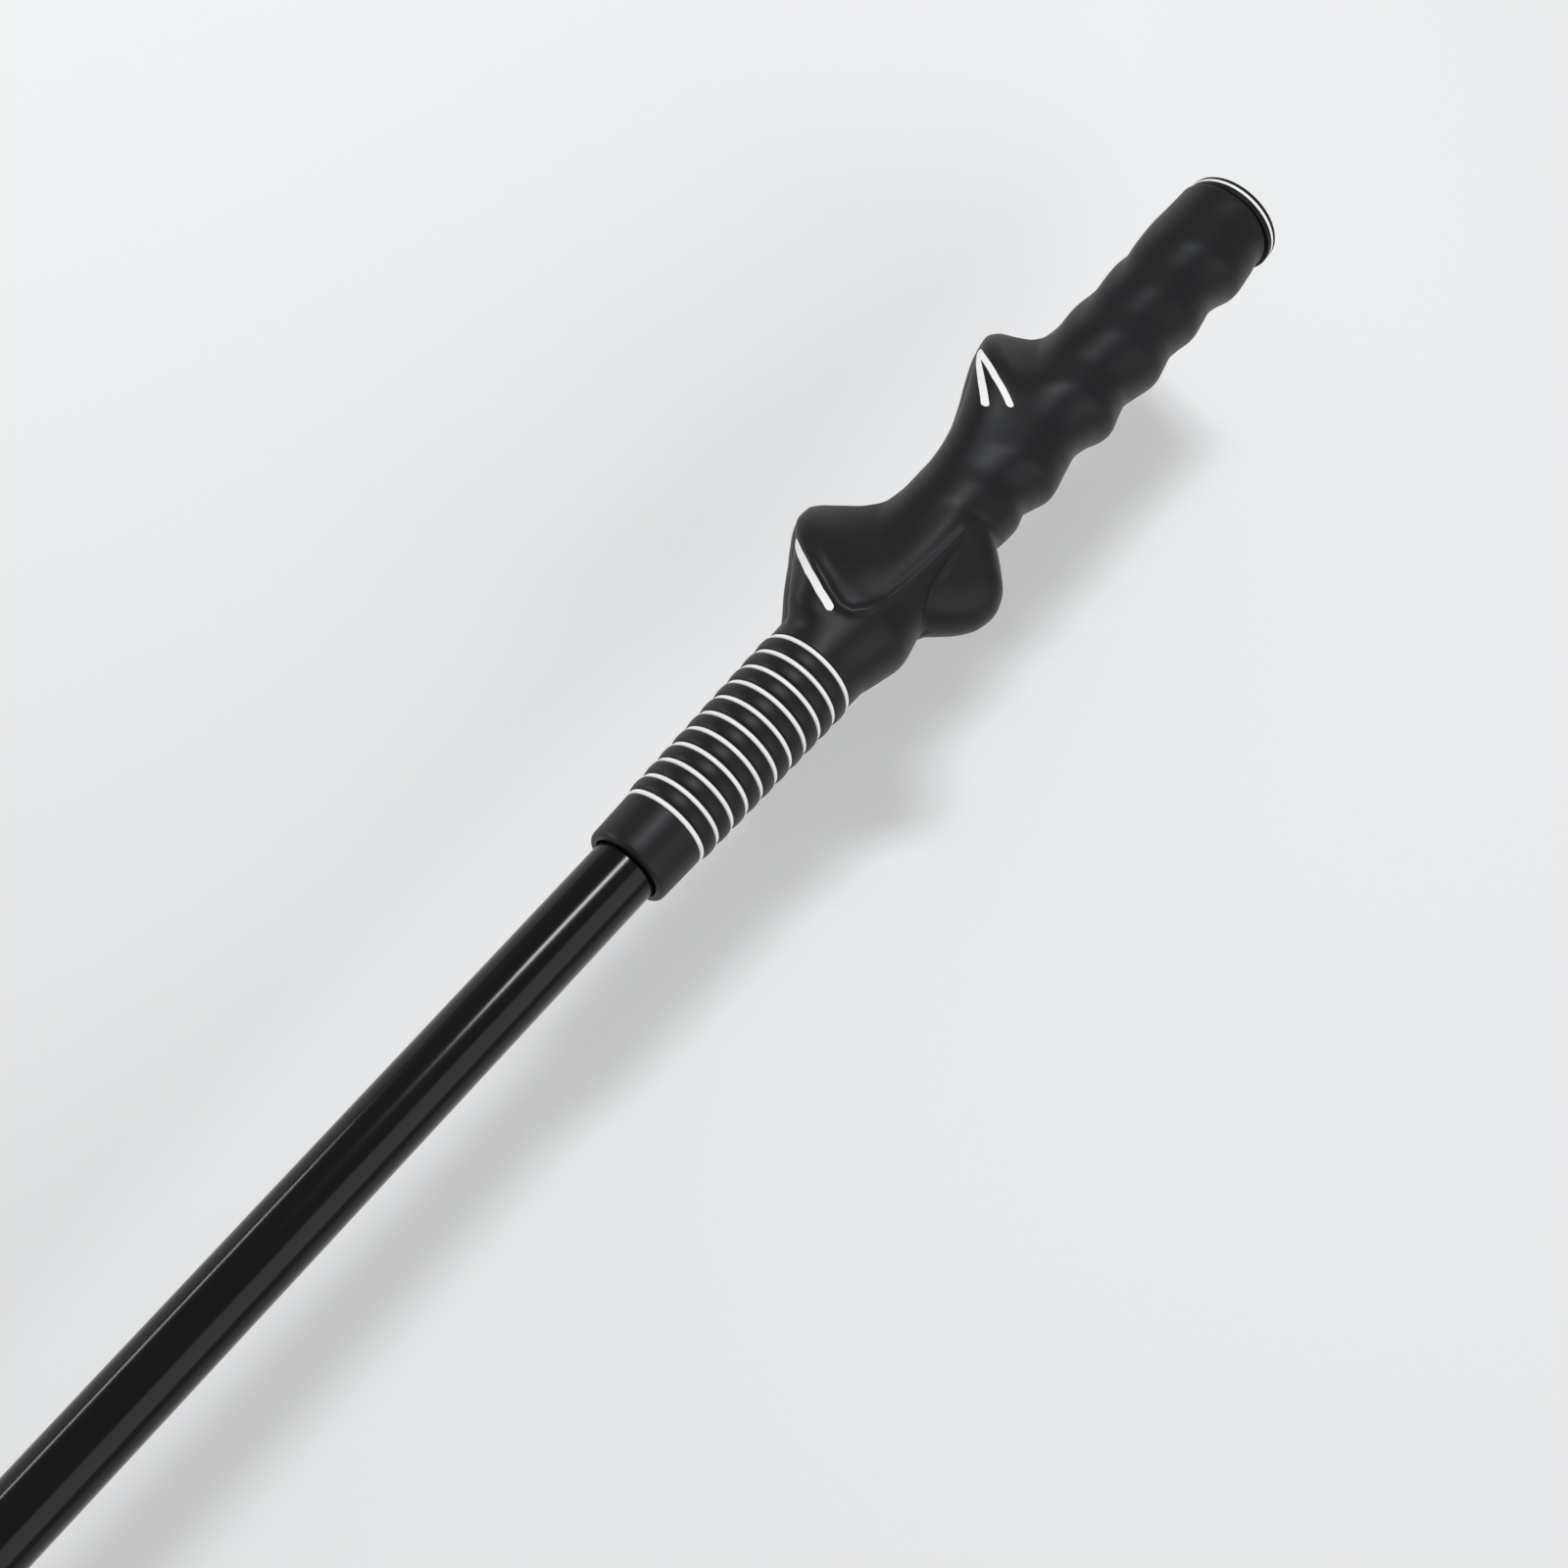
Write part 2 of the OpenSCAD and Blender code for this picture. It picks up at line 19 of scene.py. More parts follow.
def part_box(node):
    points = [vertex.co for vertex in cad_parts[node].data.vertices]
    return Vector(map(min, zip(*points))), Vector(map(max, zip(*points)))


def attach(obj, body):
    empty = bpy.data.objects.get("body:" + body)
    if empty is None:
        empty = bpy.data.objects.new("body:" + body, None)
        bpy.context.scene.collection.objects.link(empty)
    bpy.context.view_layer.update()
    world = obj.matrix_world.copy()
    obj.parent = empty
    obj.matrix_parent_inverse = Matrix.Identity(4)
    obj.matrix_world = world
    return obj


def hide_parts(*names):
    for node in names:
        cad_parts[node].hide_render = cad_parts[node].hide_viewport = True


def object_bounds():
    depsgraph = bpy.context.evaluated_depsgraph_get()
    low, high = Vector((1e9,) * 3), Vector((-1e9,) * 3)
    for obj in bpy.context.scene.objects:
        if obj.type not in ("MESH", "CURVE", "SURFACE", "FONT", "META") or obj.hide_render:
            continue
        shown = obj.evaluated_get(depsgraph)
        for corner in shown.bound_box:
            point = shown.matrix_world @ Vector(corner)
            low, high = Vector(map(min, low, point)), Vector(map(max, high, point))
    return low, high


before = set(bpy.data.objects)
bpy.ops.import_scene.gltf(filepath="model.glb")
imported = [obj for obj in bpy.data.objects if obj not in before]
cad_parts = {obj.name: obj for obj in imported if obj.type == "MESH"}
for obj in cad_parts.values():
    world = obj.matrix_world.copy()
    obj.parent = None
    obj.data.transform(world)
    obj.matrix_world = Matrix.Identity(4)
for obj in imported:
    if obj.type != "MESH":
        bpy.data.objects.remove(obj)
CAD_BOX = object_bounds()

LOG = logging.getLogger("retriever")
MM = 0.001
Outline = Sequence[tuple[float, float]]


class Body(str, Enum):
    """The rigid bodies that pieces ride on."""

    HANDLE = "handle"
    NUT_1 = "nut_1"
    MIDDLE = "middle_section"
    NUT_2 = "nut_2"
    INNER = "inner_section"
    KNOB = "knob"
    HEAD = "head"
    BAIL_LEFT = "bail_left"
    BAIL_RIGHT = "bail_right"


class Slot(str, Enum):
    """Names of material slots for the pieces made here; nothing here gives a piece its slot."""

    GRIP = "grip_rubber"
    CAP = "cap_rubber"
    MARKS = "mark_white"
    TUBE = "tube_black"
    SECTION = "section_metal"
    LOCK = "lock_plastic"
    CUP = "cup_plastic"
    STEEL = "steel"


# ---------------------------------------------------------------- shader kit


class Wire:
    """A shader socket with arithmetic: an expression on wires adds its Math nodes."""

    def __init__(self, kit: "NodeKit", socket: bpy.types.NodeSocket) -> None:
        self.kit = kit
        self.socket = socket

    def _math(self, operation: str, *values: "Wire | float", clamp: bool = False) -> "Wire":
        """One Math node on the given values."""
        node = self.kit.node("ShaderNodeMath", {"operation": operation, "use_clamp": clamp}, values)
        return Wire(self.kit, node.outputs[0])

    def __add__(self, other: "Wire | float") -> "Wire":
        """self + other."""
        return self._math("ADD", self, other)

    __radd__ = __add__

    def __sub__(self, other: "Wire | float") -> "Wire":
        """self - other."""
        return self._math("SUBTRACT", self, other)

    def __rsub__(self, other: "Wire | float") -> "Wire":
        """other - self."""
        return self._math("SUBTRACT", other, self)

    def __mul__(self, other: "Wire | float") -> "Wire":
        """self * other."""
        return self._math("MULTIPLY", self, other)

    __rmul__ = __mul__

    def clamped(self) -> "Wire":
        """self held between 0 and 1."""
        return self._math("ADD", self, 0.0, clamp=True)


class NodeKit:
    """Adds nodes to one material's tree and wires them."""

    def __init__(self, name: str) -> None:
        """Starts a material with a Principled surface.

        Args:
            name: The material's name.
        """
        self.material = bpy.data.materials.new(name)
        self.material.use_nodes = True
        self.tree = self.material.node_tree
        self.surface = self.tree.nodes["Principled BSDF"]

    def node(
        self,
        kind: str,
        settings: dict[str, object] | None = None,
        inputs: Sequence[object] | dict[str, object] = (),
    ) -> bpy.types.Node:
        """Adds one node.

        Args:
            kind: The node's type.
            settings: Attributes that are set first; "ramp" holds a Color Ramp's stops.
            inputs: Values or wires for its sockets, in order or by name.

        Returns:
            The node.
        """
        node = self.tree.nodes.new(kind)
        for key, value in (settings or {}).items():
            if key == "ramp":
                self._stops(node, value)
            else:
                setattr(node, key, value)
        pairs = inputs.items() if isinstance(inputs, dict) else enumerate(inputs)
        for key, value in pairs:
            self.put(node.inputs[key], value)
        return node

    @staticmethod
    def _stops(node: bpy.types.Node, stops: Iterable[tuple[float, float]]) -> None:
        """Sets the grey stops of a Color Ramp."""
        ramp = node.color_ramp
        stops = list(stops)
        while len(ramp.elements) < len(stops):
            ramp.elements.new(1.0)
        for element, (place, grey) in zip(ramp.elements, stops):
            element.position = place
            element.color = (grey, grey, grey, 1.0)

    def put(self, socket: bpy.types.NodeSocket, value: object) -> None:
        """Links a wire to a socket, or sets the socket's own value."""
        if isinstance(value, Wire):
            self.tree.links.new(value.socket, socket)
        else:
            socket.default_value = value

    def object_place(self) -> Wire:
        """Object coordinates, in metres."""
        return Wire(self, self.node("ShaderNodeTexCoord").outputs["Object"])

    def noise(self, scale: float, detail: float = 2.0, stretch: Sequence[float] = (1, 1, 1)) -> Wire:
        """Noise in object space.

        Args:
            scale: Cells per metre.
            detail: Octaves.
            stretch: Scale of each axis.

        Returns:
            The noise value, 0 to 1.
        """
        place = self.node("ShaderNodeMapping", None, {"Vector": self.object_place(), "Scale": tuple(stretch)})
        out = self.node(
            "ShaderNodeTexNoise",
            None,
            {"Vector": Wire(self, place.outputs[0]), "Scale": scale, "Detail": detail},
        )
        return Wire(self, out.outputs["Fac"])

    def cells(self, scale: float) -> Wire:
        """Distance to the nearest point of a random cell pattern in object space."""
        out = self.node("ShaderNodeTexVoronoi", None, {"Vector": self.object_place(), "Scale": scale})
        return Wire(self, out.outputs["Distance"])

    def ramp(self, value: Wire, stops: Iterable[tuple[float, float]]) -> Wire:
        """Grey ramp of a value."""
        out = self.node("ShaderNodeValToRGB", {"ramp": stops}, (value,))
        return Wire(self, out.outputs[0])

    def mix(self, factor: Wire, first: Sequence[float], second: Sequence[float]) -> Wire:
        """Colour between two colours."""
        out = self.node("ShaderNodeMix", {"data_type": "RGBA"})
        self.put(out.inputs[0], factor)
        self.put(out.inputs[6], (*first, 1.0))
        self.put(out.inputs[7], (*second, 1.0))
        return Wire(self, out.outputs[2])

    def edges(self) -> Wire:
        """Pointiness of the surface, stretched so that proud edges come near 1; the rubber paints its highlight sheen
        there.
        """
        out = self.node("ShaderNodeNewGeometry")
        return self.ramp(Wire(self, out.outputs["Pointiness"]), ((0.502, 0.0), (0.54, 1.0)))

    def bump(self, height: Wire, strength: float, distance_mm: float) -> None:
        """Feeds the surface's normal from a height."""
        out = self.node(
            "ShaderNodeBump", None, {"Height": height, "Strength": strength, "Distance": distance_mm * MM}
        )
        self.put(self.surface.inputs["Normal"], Wire(self, out.outputs[0]))


@dataclass(frozen=True)
class Finish:
    """A plain moulded or drawn finish; the special finishes extend it."""

    name: str
    dark: tuple[float, float, float]
    light: tuple[float, float, float]
    roughness: tuple[float, float]
    metallic: float = 0.0
    specular: float = 0.5
    coat: float = 0.0
    coat_roughness: float = 0.05
    mottle_scale: float = 60.0
    grain_scale: float = 1800.0
    grain_mm: float = 0.02
    grain_strength: float = 0.25
    stretch: tuple[float, float, float] = (1.0, 1.0, 1.0)

    def material(self) -> bpy.types.Material:
        """Builds the finish once and gives the same material after that."""
        found = bpy.data.materials.get(self.name)
        return found or self.build()

    def build(self) -> bpy.types.Material:
        """Colour and roughness vary slowly over the piece, and a fine grain is in the normal."""
        kit = NodeKit(self.name)
        mottle = kit.noise(self.mottle_scale, 3.0, self.stretch)
        grain = kit.noise(self.grain_scale, 2.0, self.stretch)
        low, high = self.roughness
        kit.put(kit.surface.inputs["Base Color"], kit.mix(mottle, self.dark, self.light))
        kit.put(kit.surface.inputs["Roughness"], (mottle * 0.6 + grain * 0.4) * (high - low) + low)
        self.constants(kit)
        kit.bump(grain, self.grain_strength, self.grain_mm)
        return kit.material

    def constants(self, kit: NodeKit) -> None:
        """Sets the values that are the same all over."""
        inputs = kit.surface.inputs
        inputs["Metallic"].default_value = self.metallic
        inputs["Specular IOR Level"].default_value = self.specular
        inputs["Coat Weight"].default_value = self.coat
        inputs["Coat Roughness"].default_value = self.coat_roughness


@dataclass(frozen=True)
class MouldedRubber(Finish):
    """Matte rubber: fine pebbled skin, rubbed a little smoother on what stands proud, with a lighter grey painted
    there as a highlight sheen.
    """

    pebble_scale: float = 1500.0

    def build(self) -> bpy.types.Material:
        """Pebbles, slow blotches, and proud edges with a painted highlight sheen in colour and a smoother rub in
        roughness.
        """
        kit = NodeKit(self.name)
        blotch = kit.noise(self.mottle_scale, 4.0)
        pebble = kit.cells(self.pebble_scale)
        grain = kit.noise(self.grain_scale, 3.0)
        # painted highlight: proud edges and ridges get a lighter colour as a sheen, and lower roughness as from
        # rubbing
        wear_and_sheen = kit.edges() * 0.5
        low, high = self.roughness
        # the colour tone takes the painted highlight sheen on proud edges
        tone = (blotch * 0.75 + wear_and_sheen).clamped()
        kit.put(kit.surface.inputs["Base Color"], kit.mix(tone, self.dark, self.light))
        kit.put(kit.surface.inputs["Roughness"], (blotch * 0.5 + grain * 0.5 - wear_and_sheen * 0.4) * (high - low) + low)
        self.constants(kit)
        kit.bump(pebble * 0.6 + grain * 0.4, self.grain_strength, self.grain_mm)
        return kit.material


@dataclass(frozen=True)
class DrawnMetal(Finish):
    """Metal with fine lines along the draw, given by the stretch, and a few deeper scuffs."""

    def build(self) -> bpy.types.Material:
        """Lines in colour, roughness and normal."""
        kit = NodeKit(self.name)
        lines = kit.noise(self.grain_scale, 3.0, self.stretch)
        mottle = kit.noise(self.mottle_scale, 3.0)
        scuffs = kit.ramp(kit.noise(self.mottle_scale * 6, 1.0, self.stretch), ((0.62, 0.0), (0.7, 1.0)))
        low, high = self.roughness
        kit.put(kit.surface.inputs["Base Color"], kit.mix((lines * 0.5 + mottle * 0.5), self.dark, self.light))
        rough = (lines * 0.5 + mottle * 0.5) * (high - low) + low
        kit.put(kit.surface.inputs["Roughness"], (rough + scuffs * 0.12).clamped())
        self.constants(kit)
        kit.bump(lines, self.grain_strength, self.grain_mm)
        return kit.material


GRIP_RUBBER = MouldedRubber(
    "moulded_grip_rubber", (0.0034, 0.0038, 0.0046), (0.0074, 0.0081, 0.0094), (0.38, 0.52),
    specular=0.28, mottle_scale=28.0, grain_scale=2600.0, grain_mm=0.03, grain_strength=0.22,
)
CAP_RUBBER = MouldedRubber(
    "end_cap_rubber", (0.0042, 0.0046, 0.0054), (0.0075, 0.0081, 0.0092), (0.42, 0.56),
    specular=0.2, mottle_scale=40.0, grain_scale=2600.0, grain_mm=0.03, grain_strength=0.2,
)
SEAL_RUBBER = MouldedRubber(
    "seal_rubber", (0.012, 0.012, 0.0125), (0.02, 0.02, 0.021), (0.6, 0.8),
    specular=0.35, mottle_scale=90.0, grain_scale=3000.0, grain_mm=0.02, grain_strength=0.2,
)
MARK_PAINT = Finish(
    "white_mark_paint", (0.9, 0.9, 0.89), (0.96, 0.96, 0.955), (0.42, 0.6),
    specular=0.4, mottle_scale=240.0, grain_scale=2400.0, grain_mm=0.02, grain_strength=0.15,
)
TUBE_LACQUER = Finish(
    "gloss_black_lacquer", (0.0018, 0.0018, 0.002), (0.003, 0.003, 0.0033), (0.12, 0.18),
    specular=0.24, mottle_scale=35.0, grain_scale=700.0,
    grain_mm=0.004, grain_strength=0.05, stretch=(0.25, 1.0, 1.0),
)
SECTION_METAL = DrawnMetal(
    "anodised_section", (0.56, 0.57, 0.59), (0.68, 0.69, 0.71), (0.26, 0.42), metallic=1.0,
    mottle_scale=25.0, grain_scale=1400.0, grain_mm=0.006, grain_strength=0.12, stretch=(0.02, 1.0, 1.0),
)
LOCK_PLASTIC = MouldedRubber(
    "textured_lock_plastic", (0.0085, 0.0086, 0.0092), (0.0145, 0.0147, 0.0156), (0.36, 0.5),
    specular=0.4, mottle_scale=70.0, grain_scale=3400.0, grain_mm=0.03, grain_strength=0.3,
    pebble_scale=2600.0,
)
BUSH_PLASTIC = Finish(
    "natural_acetal", (0.74, 0.72, 0.66), (0.84, 0.82, 0.77), (0.35, 0.5),
    mottle_scale=120.0, grain_mm=0.01,
)
CUP_PLASTIC = MouldedRubber(
    "orange_cup_plastic", (0.74, 0.15, 0.018), (0.86, 0.21, 0.03), (0.3, 0.44),
    specular=0.5, mottle_scale=45.0, grain_scale=3000.0, grain_mm=0.02, grain_strength=0.14,
)
BRIGHT_STEEL = DrawnMetal(
    "drawn_steel", (0.5, 0.5, 0.51), (0.66, 0.66, 0.67), (0.2, 0.36), metallic=1.0,
    mottle_scale=180.0, grain_scale=2600.0, grain_mm=0.006, grain_strength=0.12, stretch=(1.0, 0.2, 1.0),
)
BRASS = DrawnMetal(
    "turned_brass", (0.62, 0.43, 0.16), (0.78, 0.58, 0.26), (0.22, 0.36), metallic=1.0,
    mottle_scale=220.0, grain_scale=2600.0, grain_mm=0.006, grain_strength=0.12, stretch=(1.0, 1.0, 0.1),
)


# ------------------------------------------------------------------ mesh kit


def smooth_line(points: Outline, at: np.ndarray) -> np.ndarray:
    """Monotone cubic through an outline's points, so that it never swings past them.

    Args:
        points: The outline's (place, value) points, by rising place.
        at: The places asked for.

    Returns:
        The values there.
    """
    places, values = np.array(points, float).T
    steps = np.diff(places)
    slopes = np.diff(values) / steps
    tangents = np.zeros_like(values)
    before, after = slopes[:-1], slopes[1:]
    rising = before * after > 0
    tangents[1:-1][rising] = (2 * before * after)[rising] / (before + after)[rising]
    tangents[0], tangents[-1] = slopes[0], slopes[-1]
    i = np.clip(np.searchsorted(places, at, side="right") - 1, 0, len(steps) - 1)
    t = np.clip((at - places[i]) / steps[i], 0, 1)
    back = 1 - t
    return (
        back * back * (1 + 2 * t) * values[i]
        + t * t * (3 - 2 * t) * values[i + 1]
        + steps[i] * (t * back * back * tangents[i] - t * t * back * tangents[i + 1])
    )


def soft_step(value: np.ndarray, low: float, high: float) -> np.ndarray:
    """0 before low, 1 after high, smooth between."""
    t = np.clip((value - low) / (high - low), 0, 1)
    return t * t * (3 - 2 * t)


def mark_sharp(mesh: bmesh.types.BMesh, degrees: float = 32.0) -> None:
    """Smooth faces everywhere, with sharp edges where the surface turns by more than the angle."""
    limit = math.radians(degrees)
    for face in mesh.faces:
        face.smooth = True
    for edge in mesh.edges:
        edge.smooth = edge.calc_face_angle(0.0) < limit


def finish_piece(
    name: str,
    mesh: bmesh.types.BMesh,
    finish: Finish,
    body: Body,
    replaced: Sequence[str] = (),
    sharp: float = 32.0,
) -> bpy.types.Object:
    """Turns a bmesh into a piece that rides on a body.

    Args:
        name: The piece's name.
        mesh: Its shape, in metres; freed here.
        finish: Its finish.
        body: The body that it rides on.
        replaced: CAD nodes that it stands for.
        sharp: Angle over which an edge shades sharp, in degrees.

    Returns:
        The piece.
    """
    mark_sharp(mesh, sharp)
    data = bpy.data.meshes.new(name)
    mesh.to_mesh(data)
    mesh.free()
    piece = bpy.data.objects.new(name, data)
    bpy.context.scene.collection.objects.link(piece)
    data.materials.append(finish.material())
    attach(piece, body.value)
    if replaced:
        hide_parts(*replaced)
    LOG.info("%s: %d faces on %s", name, len(data.polygons), body.value)
    return piece


def rounded(outline: Sequence[tuple[float, float, float]], arc_points: int = 5) -> list[tuple[float, float]]:
    """Rounds the corners of a closed outline.

    Args:
        outline: (x, r, corner radius) of each corner, in millimetres.
        arc_points: Points on each rounded corner.

    Returns:
        The (x, r) points of the rounded outline.
    """
    points: list[tuple[float, float]] = []
    count = len(outline)
    for i, (x, r, radius) in enumerate(outline):
        here = Vector((x, r))
        back = Vector(outline[i - 1][:2]) - here
        ahead = Vector(outline[(i + 1) % count][:2]) - here
        if radius <= 0:
            points.append((x, r))
            continue
        angle = back.angle(ahead)
        reach = min(radius / math.tan(angle / 2), 0.49 * back.length, 0.49 * ahead.length)
        start, end = here + back.normalized() * reach, here + ahead.normalized() * reach
        for k in range(arc_points):
            t = k / (arc_points - 1)
            point = start * (1 - t) ** 2 + here * (2 * t * (1 - t)) + end * t * t
            points.append((point.x, point.y))
    return points


def full_turn(
    points: Sequence[tuple[float, float, float]], axis: tuple[int, int, int], steps: int
) -> bmesh.types.BMesh:
    """Spins a closed outline a full turn about an axis through the origin.

    Args:
        points: The outline, in metres.
        axis: The axis' direction.
        steps: Faces round the axis.

    Returns:
        The closed shape, in metres.
    """
    mesh = bmesh.new()
    verts = [mesh.verts.new(point) for point in points]
    edges = [mesh.edges.new((a, b)) for a, b in zip(verts, verts[1:] + verts[:1])]
    bmesh.ops.spin(
        mesh, geom=verts + edges, axis=axis, cent=(0, 0, 0), dvec=(0, 0, 0),
        angle=2 * math.pi, steps=steps, use_merge=True, use_duplicate=False,
    )
    bmesh.ops.remove_doubles(mesh, verts=mesh.verts[:], dist=1e-6)
    bmesh.ops.recalc_face_normals(mesh, faces=mesh.faces[:])
    return mesh


def spun(outline: Outline, steps: int) -> bmesh.types.BMesh:
    """Spins a closed (x, r) outline, in millimetres, about the shaft axis."""
    return full_turn([(x * MM, 0.0, r * MM) for x, r in outline], (1, 0, 0), steps)


def round_edges(
    mesh: bmesh.types.BMesh, edges: Sequence[bmesh.types.BMEdge], width_mm: float, segments: int
) -> None:
    """Bevels edges round.

    Args:
        mesh: The mesh that they belong to.
        edges: The edges.
        width_mm: Width of the rounding.
        segments: Faces across the rounding.
    """
    bmesh.ops.bevel(
        mesh, geom=edges, offset=width_mm * MM, offset_type="OFFSET", segments=segments, profile=0.5,
        affect="EDGES", clamp_overlap=True, material=-1,
    )


def add_shape(mesh: bmesh.types.BMesh, shape: bmesh.types.BMesh) -> None:
    """Adds a shape to a mesh and frees the shape."""
    data = bpy.data.meshes.new("shape")
    shape.to_mesh(data)
    shape.free()
    mesh.from_mesh(data)
    bpy.data.meshes.remove(data)


def softened_node(node: str, width_mm: float, angle: float = 35.0) -> bmesh.types.BMesh:
    """Copy of a CAD node with its hard edges rounded.

    Args:
        node: The CAD node.
        width_mm: Width of the rounding.
        angle: Least angle of an edge that is rounded, in degrees.

    Returns:
        The softened shape, in metres.
    """
    mesh = bmesh.new()
    mesh.from_mesh(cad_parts[node].data)
    bmesh.ops.remove_doubles(mesh, verts=mesh.verts[:], dist=2e-6)
    bmesh.ops.dissolve_degenerate(mesh, dist=1e-6, edges=mesh.edges[:])
    bmesh.ops.dissolve_limit(
        mesh, angle_limit=math.radians(1.5), verts=mesh.verts[:], edges=mesh.edges[:],
        use_dissolve_boundaries=False, delimit={"NORMAL"},
    )
    hard = [e for e in mesh.edges if e.is_manifold and e.calc_face_angle(0.0) > math.radians(angle)]
    round_edges(mesh, hard, width_mm, segments=2)
    return mesh


def span(node: str) -> tuple[float, float, float]:
    """Start and end along the shaft and outer radius of a turned CAD node, in millimetres."""
    low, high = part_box(node)
    return low.x / MM, high.x / MM, (high.z - low.z) / 2 / MM


# ---------------------------------------------------------------------- grip


@dataclass(frozen=True)
class GripForm:
    """The sculpted skin of the grip as a radius over station and angle.

    The angle is 0 at the thumb crests and turns through the top, 90 degrees, to the finger
    trigger at 180. Stations are measured from the butt face.
    """

    mouth: float
    bore: float
    thumb_line: Outline = (
        (0, 15.9), (12, 16.0), (20, 16.2), (26, 15.8), (33, 14.8), (40, 15.4), (50, 14.6), (60, 15.6),
        (67, 15.2), (73, 15.8), (77, 17.8), (80.5, 22.0), (83.5, 26.2), (87, 28.0), (90.5, 27.3),
        (97, 24.7), (103, 21.7), (112, 18.0), (121, 16.1), (129, 15.4), (138, 15.4), (146, 16.3),
        (152, 19.5), (158, 25.0), (162.5, 29.2), (165.2, 30.6), (168.2, 30.5), (171, 28.9), (176, 25.4),
        (182, 21.6), (186, 18.4), (190.5, 15.2), (195, 14.2),
    )
    finger_line: Outline = (
        (0, 14.9), (6, 14.2), (12, 15.1), (19.5, 15.9), (25, 14.4), (30, 13.6), (35, 14.4), (40.5, 15.3),
        (46, 14.5), (50.5, 14.1), (55, 15.0), (60.5, 16.1), (67, 14.9), (73, 13.9), (78, 15.0),
        (83.5, 16.4), (90, 14.3), (96, 13.3), (103, 14.6), (111.5, 16.3), (116.5, 14.9), (121, 13.8),
        (127.5, 15.2), (133, 14.9), (136.5, 13.9), (150, 14.6), (171, 15.4), (181, 17.2),
        (188, 15.9), (195, 14.2),
    )
    trigger_line: Outline = (
        (134.5, 0), (137, 1.2), (139.5, 4.6), (142.5, 8.0), (146, 10.9), (151, 12.1), (156, 11.2),
        (161, 8.4), (165, 4.9), (168.5, 1.7), (171.5, 0),
    )
    trigger_reach: Outline = ((134, 88), (143, 72), (154, 60), (163, 55), (168.5, 40), (172, 28))
    rim: Outline = (
        (138, 110), (144.7, 107.5), (155, 106), (168, 103), (176.7, 98), (183, 90.5), (186.5, 80),
        (187.3, 68), (186, 54), (181.5, 28), (174, 9), (168, 0),
    )
    cleft_line: Outline = ((150, 118), (156, 121), (163, 126), (167.5, 138), (169.5, 160), (169.8, 176))
    bowl: tuple[float, float] = (157, 58)
    flank: float = 15.4
    thumb_lean: float = 17.0
    hidden_lean: float = 9.0
    ring_first: float = 16.0
    ring_pitch: float = 5.91
    rings: int = 11
    collar_radius: float = 12.45
    neck_radius: float = 14.2
    neck_end: float = 195.0
    hollow_depth: float = 1.3
    rim_height: float = 0.85
    valley_depth: float = 0.4
    crease_depth: float = 0.65
    swell_height: float = 0.3

    def ring_stations(self) -> list[float]:
        """Stations of the white rings, from the mouth upwards."""
        return [self.mouth - self.ring_first - k * self.ring_pitch for k in range(self.rings)]

    def base(self, x: np.ndarray) -> np.ndarray:
        """Radius under every feature."""
        taper = self.ribbed_core(x)
        return np.where(x < 180, self.flank, taper + (self.flank - taper) * (1 - soft_step(x, 180, 195)))

    def ribbed_core(self, x: np.ndarray) -> np.ndarray:
        """The taper from the neck to the mouth."""
        t = np.clip((x - self.neck_end) / (self.mouth - self.ring_first - self.neck_end), 0, 1)
        return self.neck_radius + (self.collar_radius + 0.2 - self.neck_radius) * t

    def line_distance(self, line: Outline, x: np.ndarray, theta: np.ndarray) -> tuple[np.ndarray, np.ndarray]:
        """Distance along the skin to a line drawn on it.

        Args:
            line: (station, angle) points of the line.
            x: Stations.
            theta: Angles, in degrees.

        Returns:
            The distance in millimetres, positive on the right of the line's run, and the place
            along the line, 0 to 1.
        """
        per_degree = math.radians(self.flank)
        corners = np.array([(px, angle * per_degree) for px, angle in line])
        place = np.stack([x, theta * per_degree], -1)
        best = np.full(x.shape, 1e9)
        side = np.zeros(x.shape)
        along = np.zeros(x.shape)
        for i, (start, end) in enumerate(zip(corners, corners[1:])):
            run = end - start
            t = np.clip(((place - start) @ run) / (run @ run), 0, 1)
            gap = place - start - t[..., None] * run
            distance = np.hypot(gap[..., 0], gap[..., 1])
            near = distance < best
            cross = run[0] * gap[..., 1] - run[1] * gap[..., 0]
            best = np.where(near, distance, best)
            side = np.where(near, -np.sign(cross), side)
            along = np.where(near, (i + t) / (len(corners) - 1), along)
        return best * side, along

    def radius(self, x: np.ndarray, theta: np.ndarray) -> np.ndarray:
        """Radius of the skin.

        Args:
            x: Stations in millimetres.
            theta: Angles in degrees, -180 to 180.

        Returns:
            The radius in millimetres.
        """
        angle = np.radians(theta)
        lift = np.cos(angle)
        top = theta > 0
        swing = np.sin(np.minimum(1.5 * np.abs(angle), math.pi / 2))
        leaned = x - np.where(top, self.thumb_lean, self.hidden_lean) * swing
        crest = smooth_line(self.thumb_line, leaned) - self.flank
        crest = np.where(x > 180, np.maximum(crest, 0), crest)
        crest *= np.maximum(lift, 0) ** 3
        phase = x - 5 * (1 + lift)
        wave = smooth_line(self.finger_line, phase)
        wave -= np.where(phase < 180, self.flank, self.base(phase))
        wave *= ((1 - lift) / 2) ** np.where(top, 1.25, 0.9)
        beside = soft_step(x, 136, 146) * (1 - soft_step(x, 170, 182)) * soft_step(theta, 70, 92)
        wave *= 1 - 0.75 * beside * (1 - soft_step(theta, 122, 142))
        off_centre = 180 - np.abs(theta)
        reach = smooth_line(self.trigger_reach, x)
        trigger = smooth_line(self.trigger_line, x) * np.cos(np.pi / 2 * np.minimum(off_centre / reach, 1)) ** 2
        skin = self.base(x) + crest + wave + trigger + self.channel(x, theta) + self.cleft(x, theta)
        ribbed = soft_step(x, 192, 199)
        return skin * (1 - ribbed) + self.ribbed_core(x) * ribbed

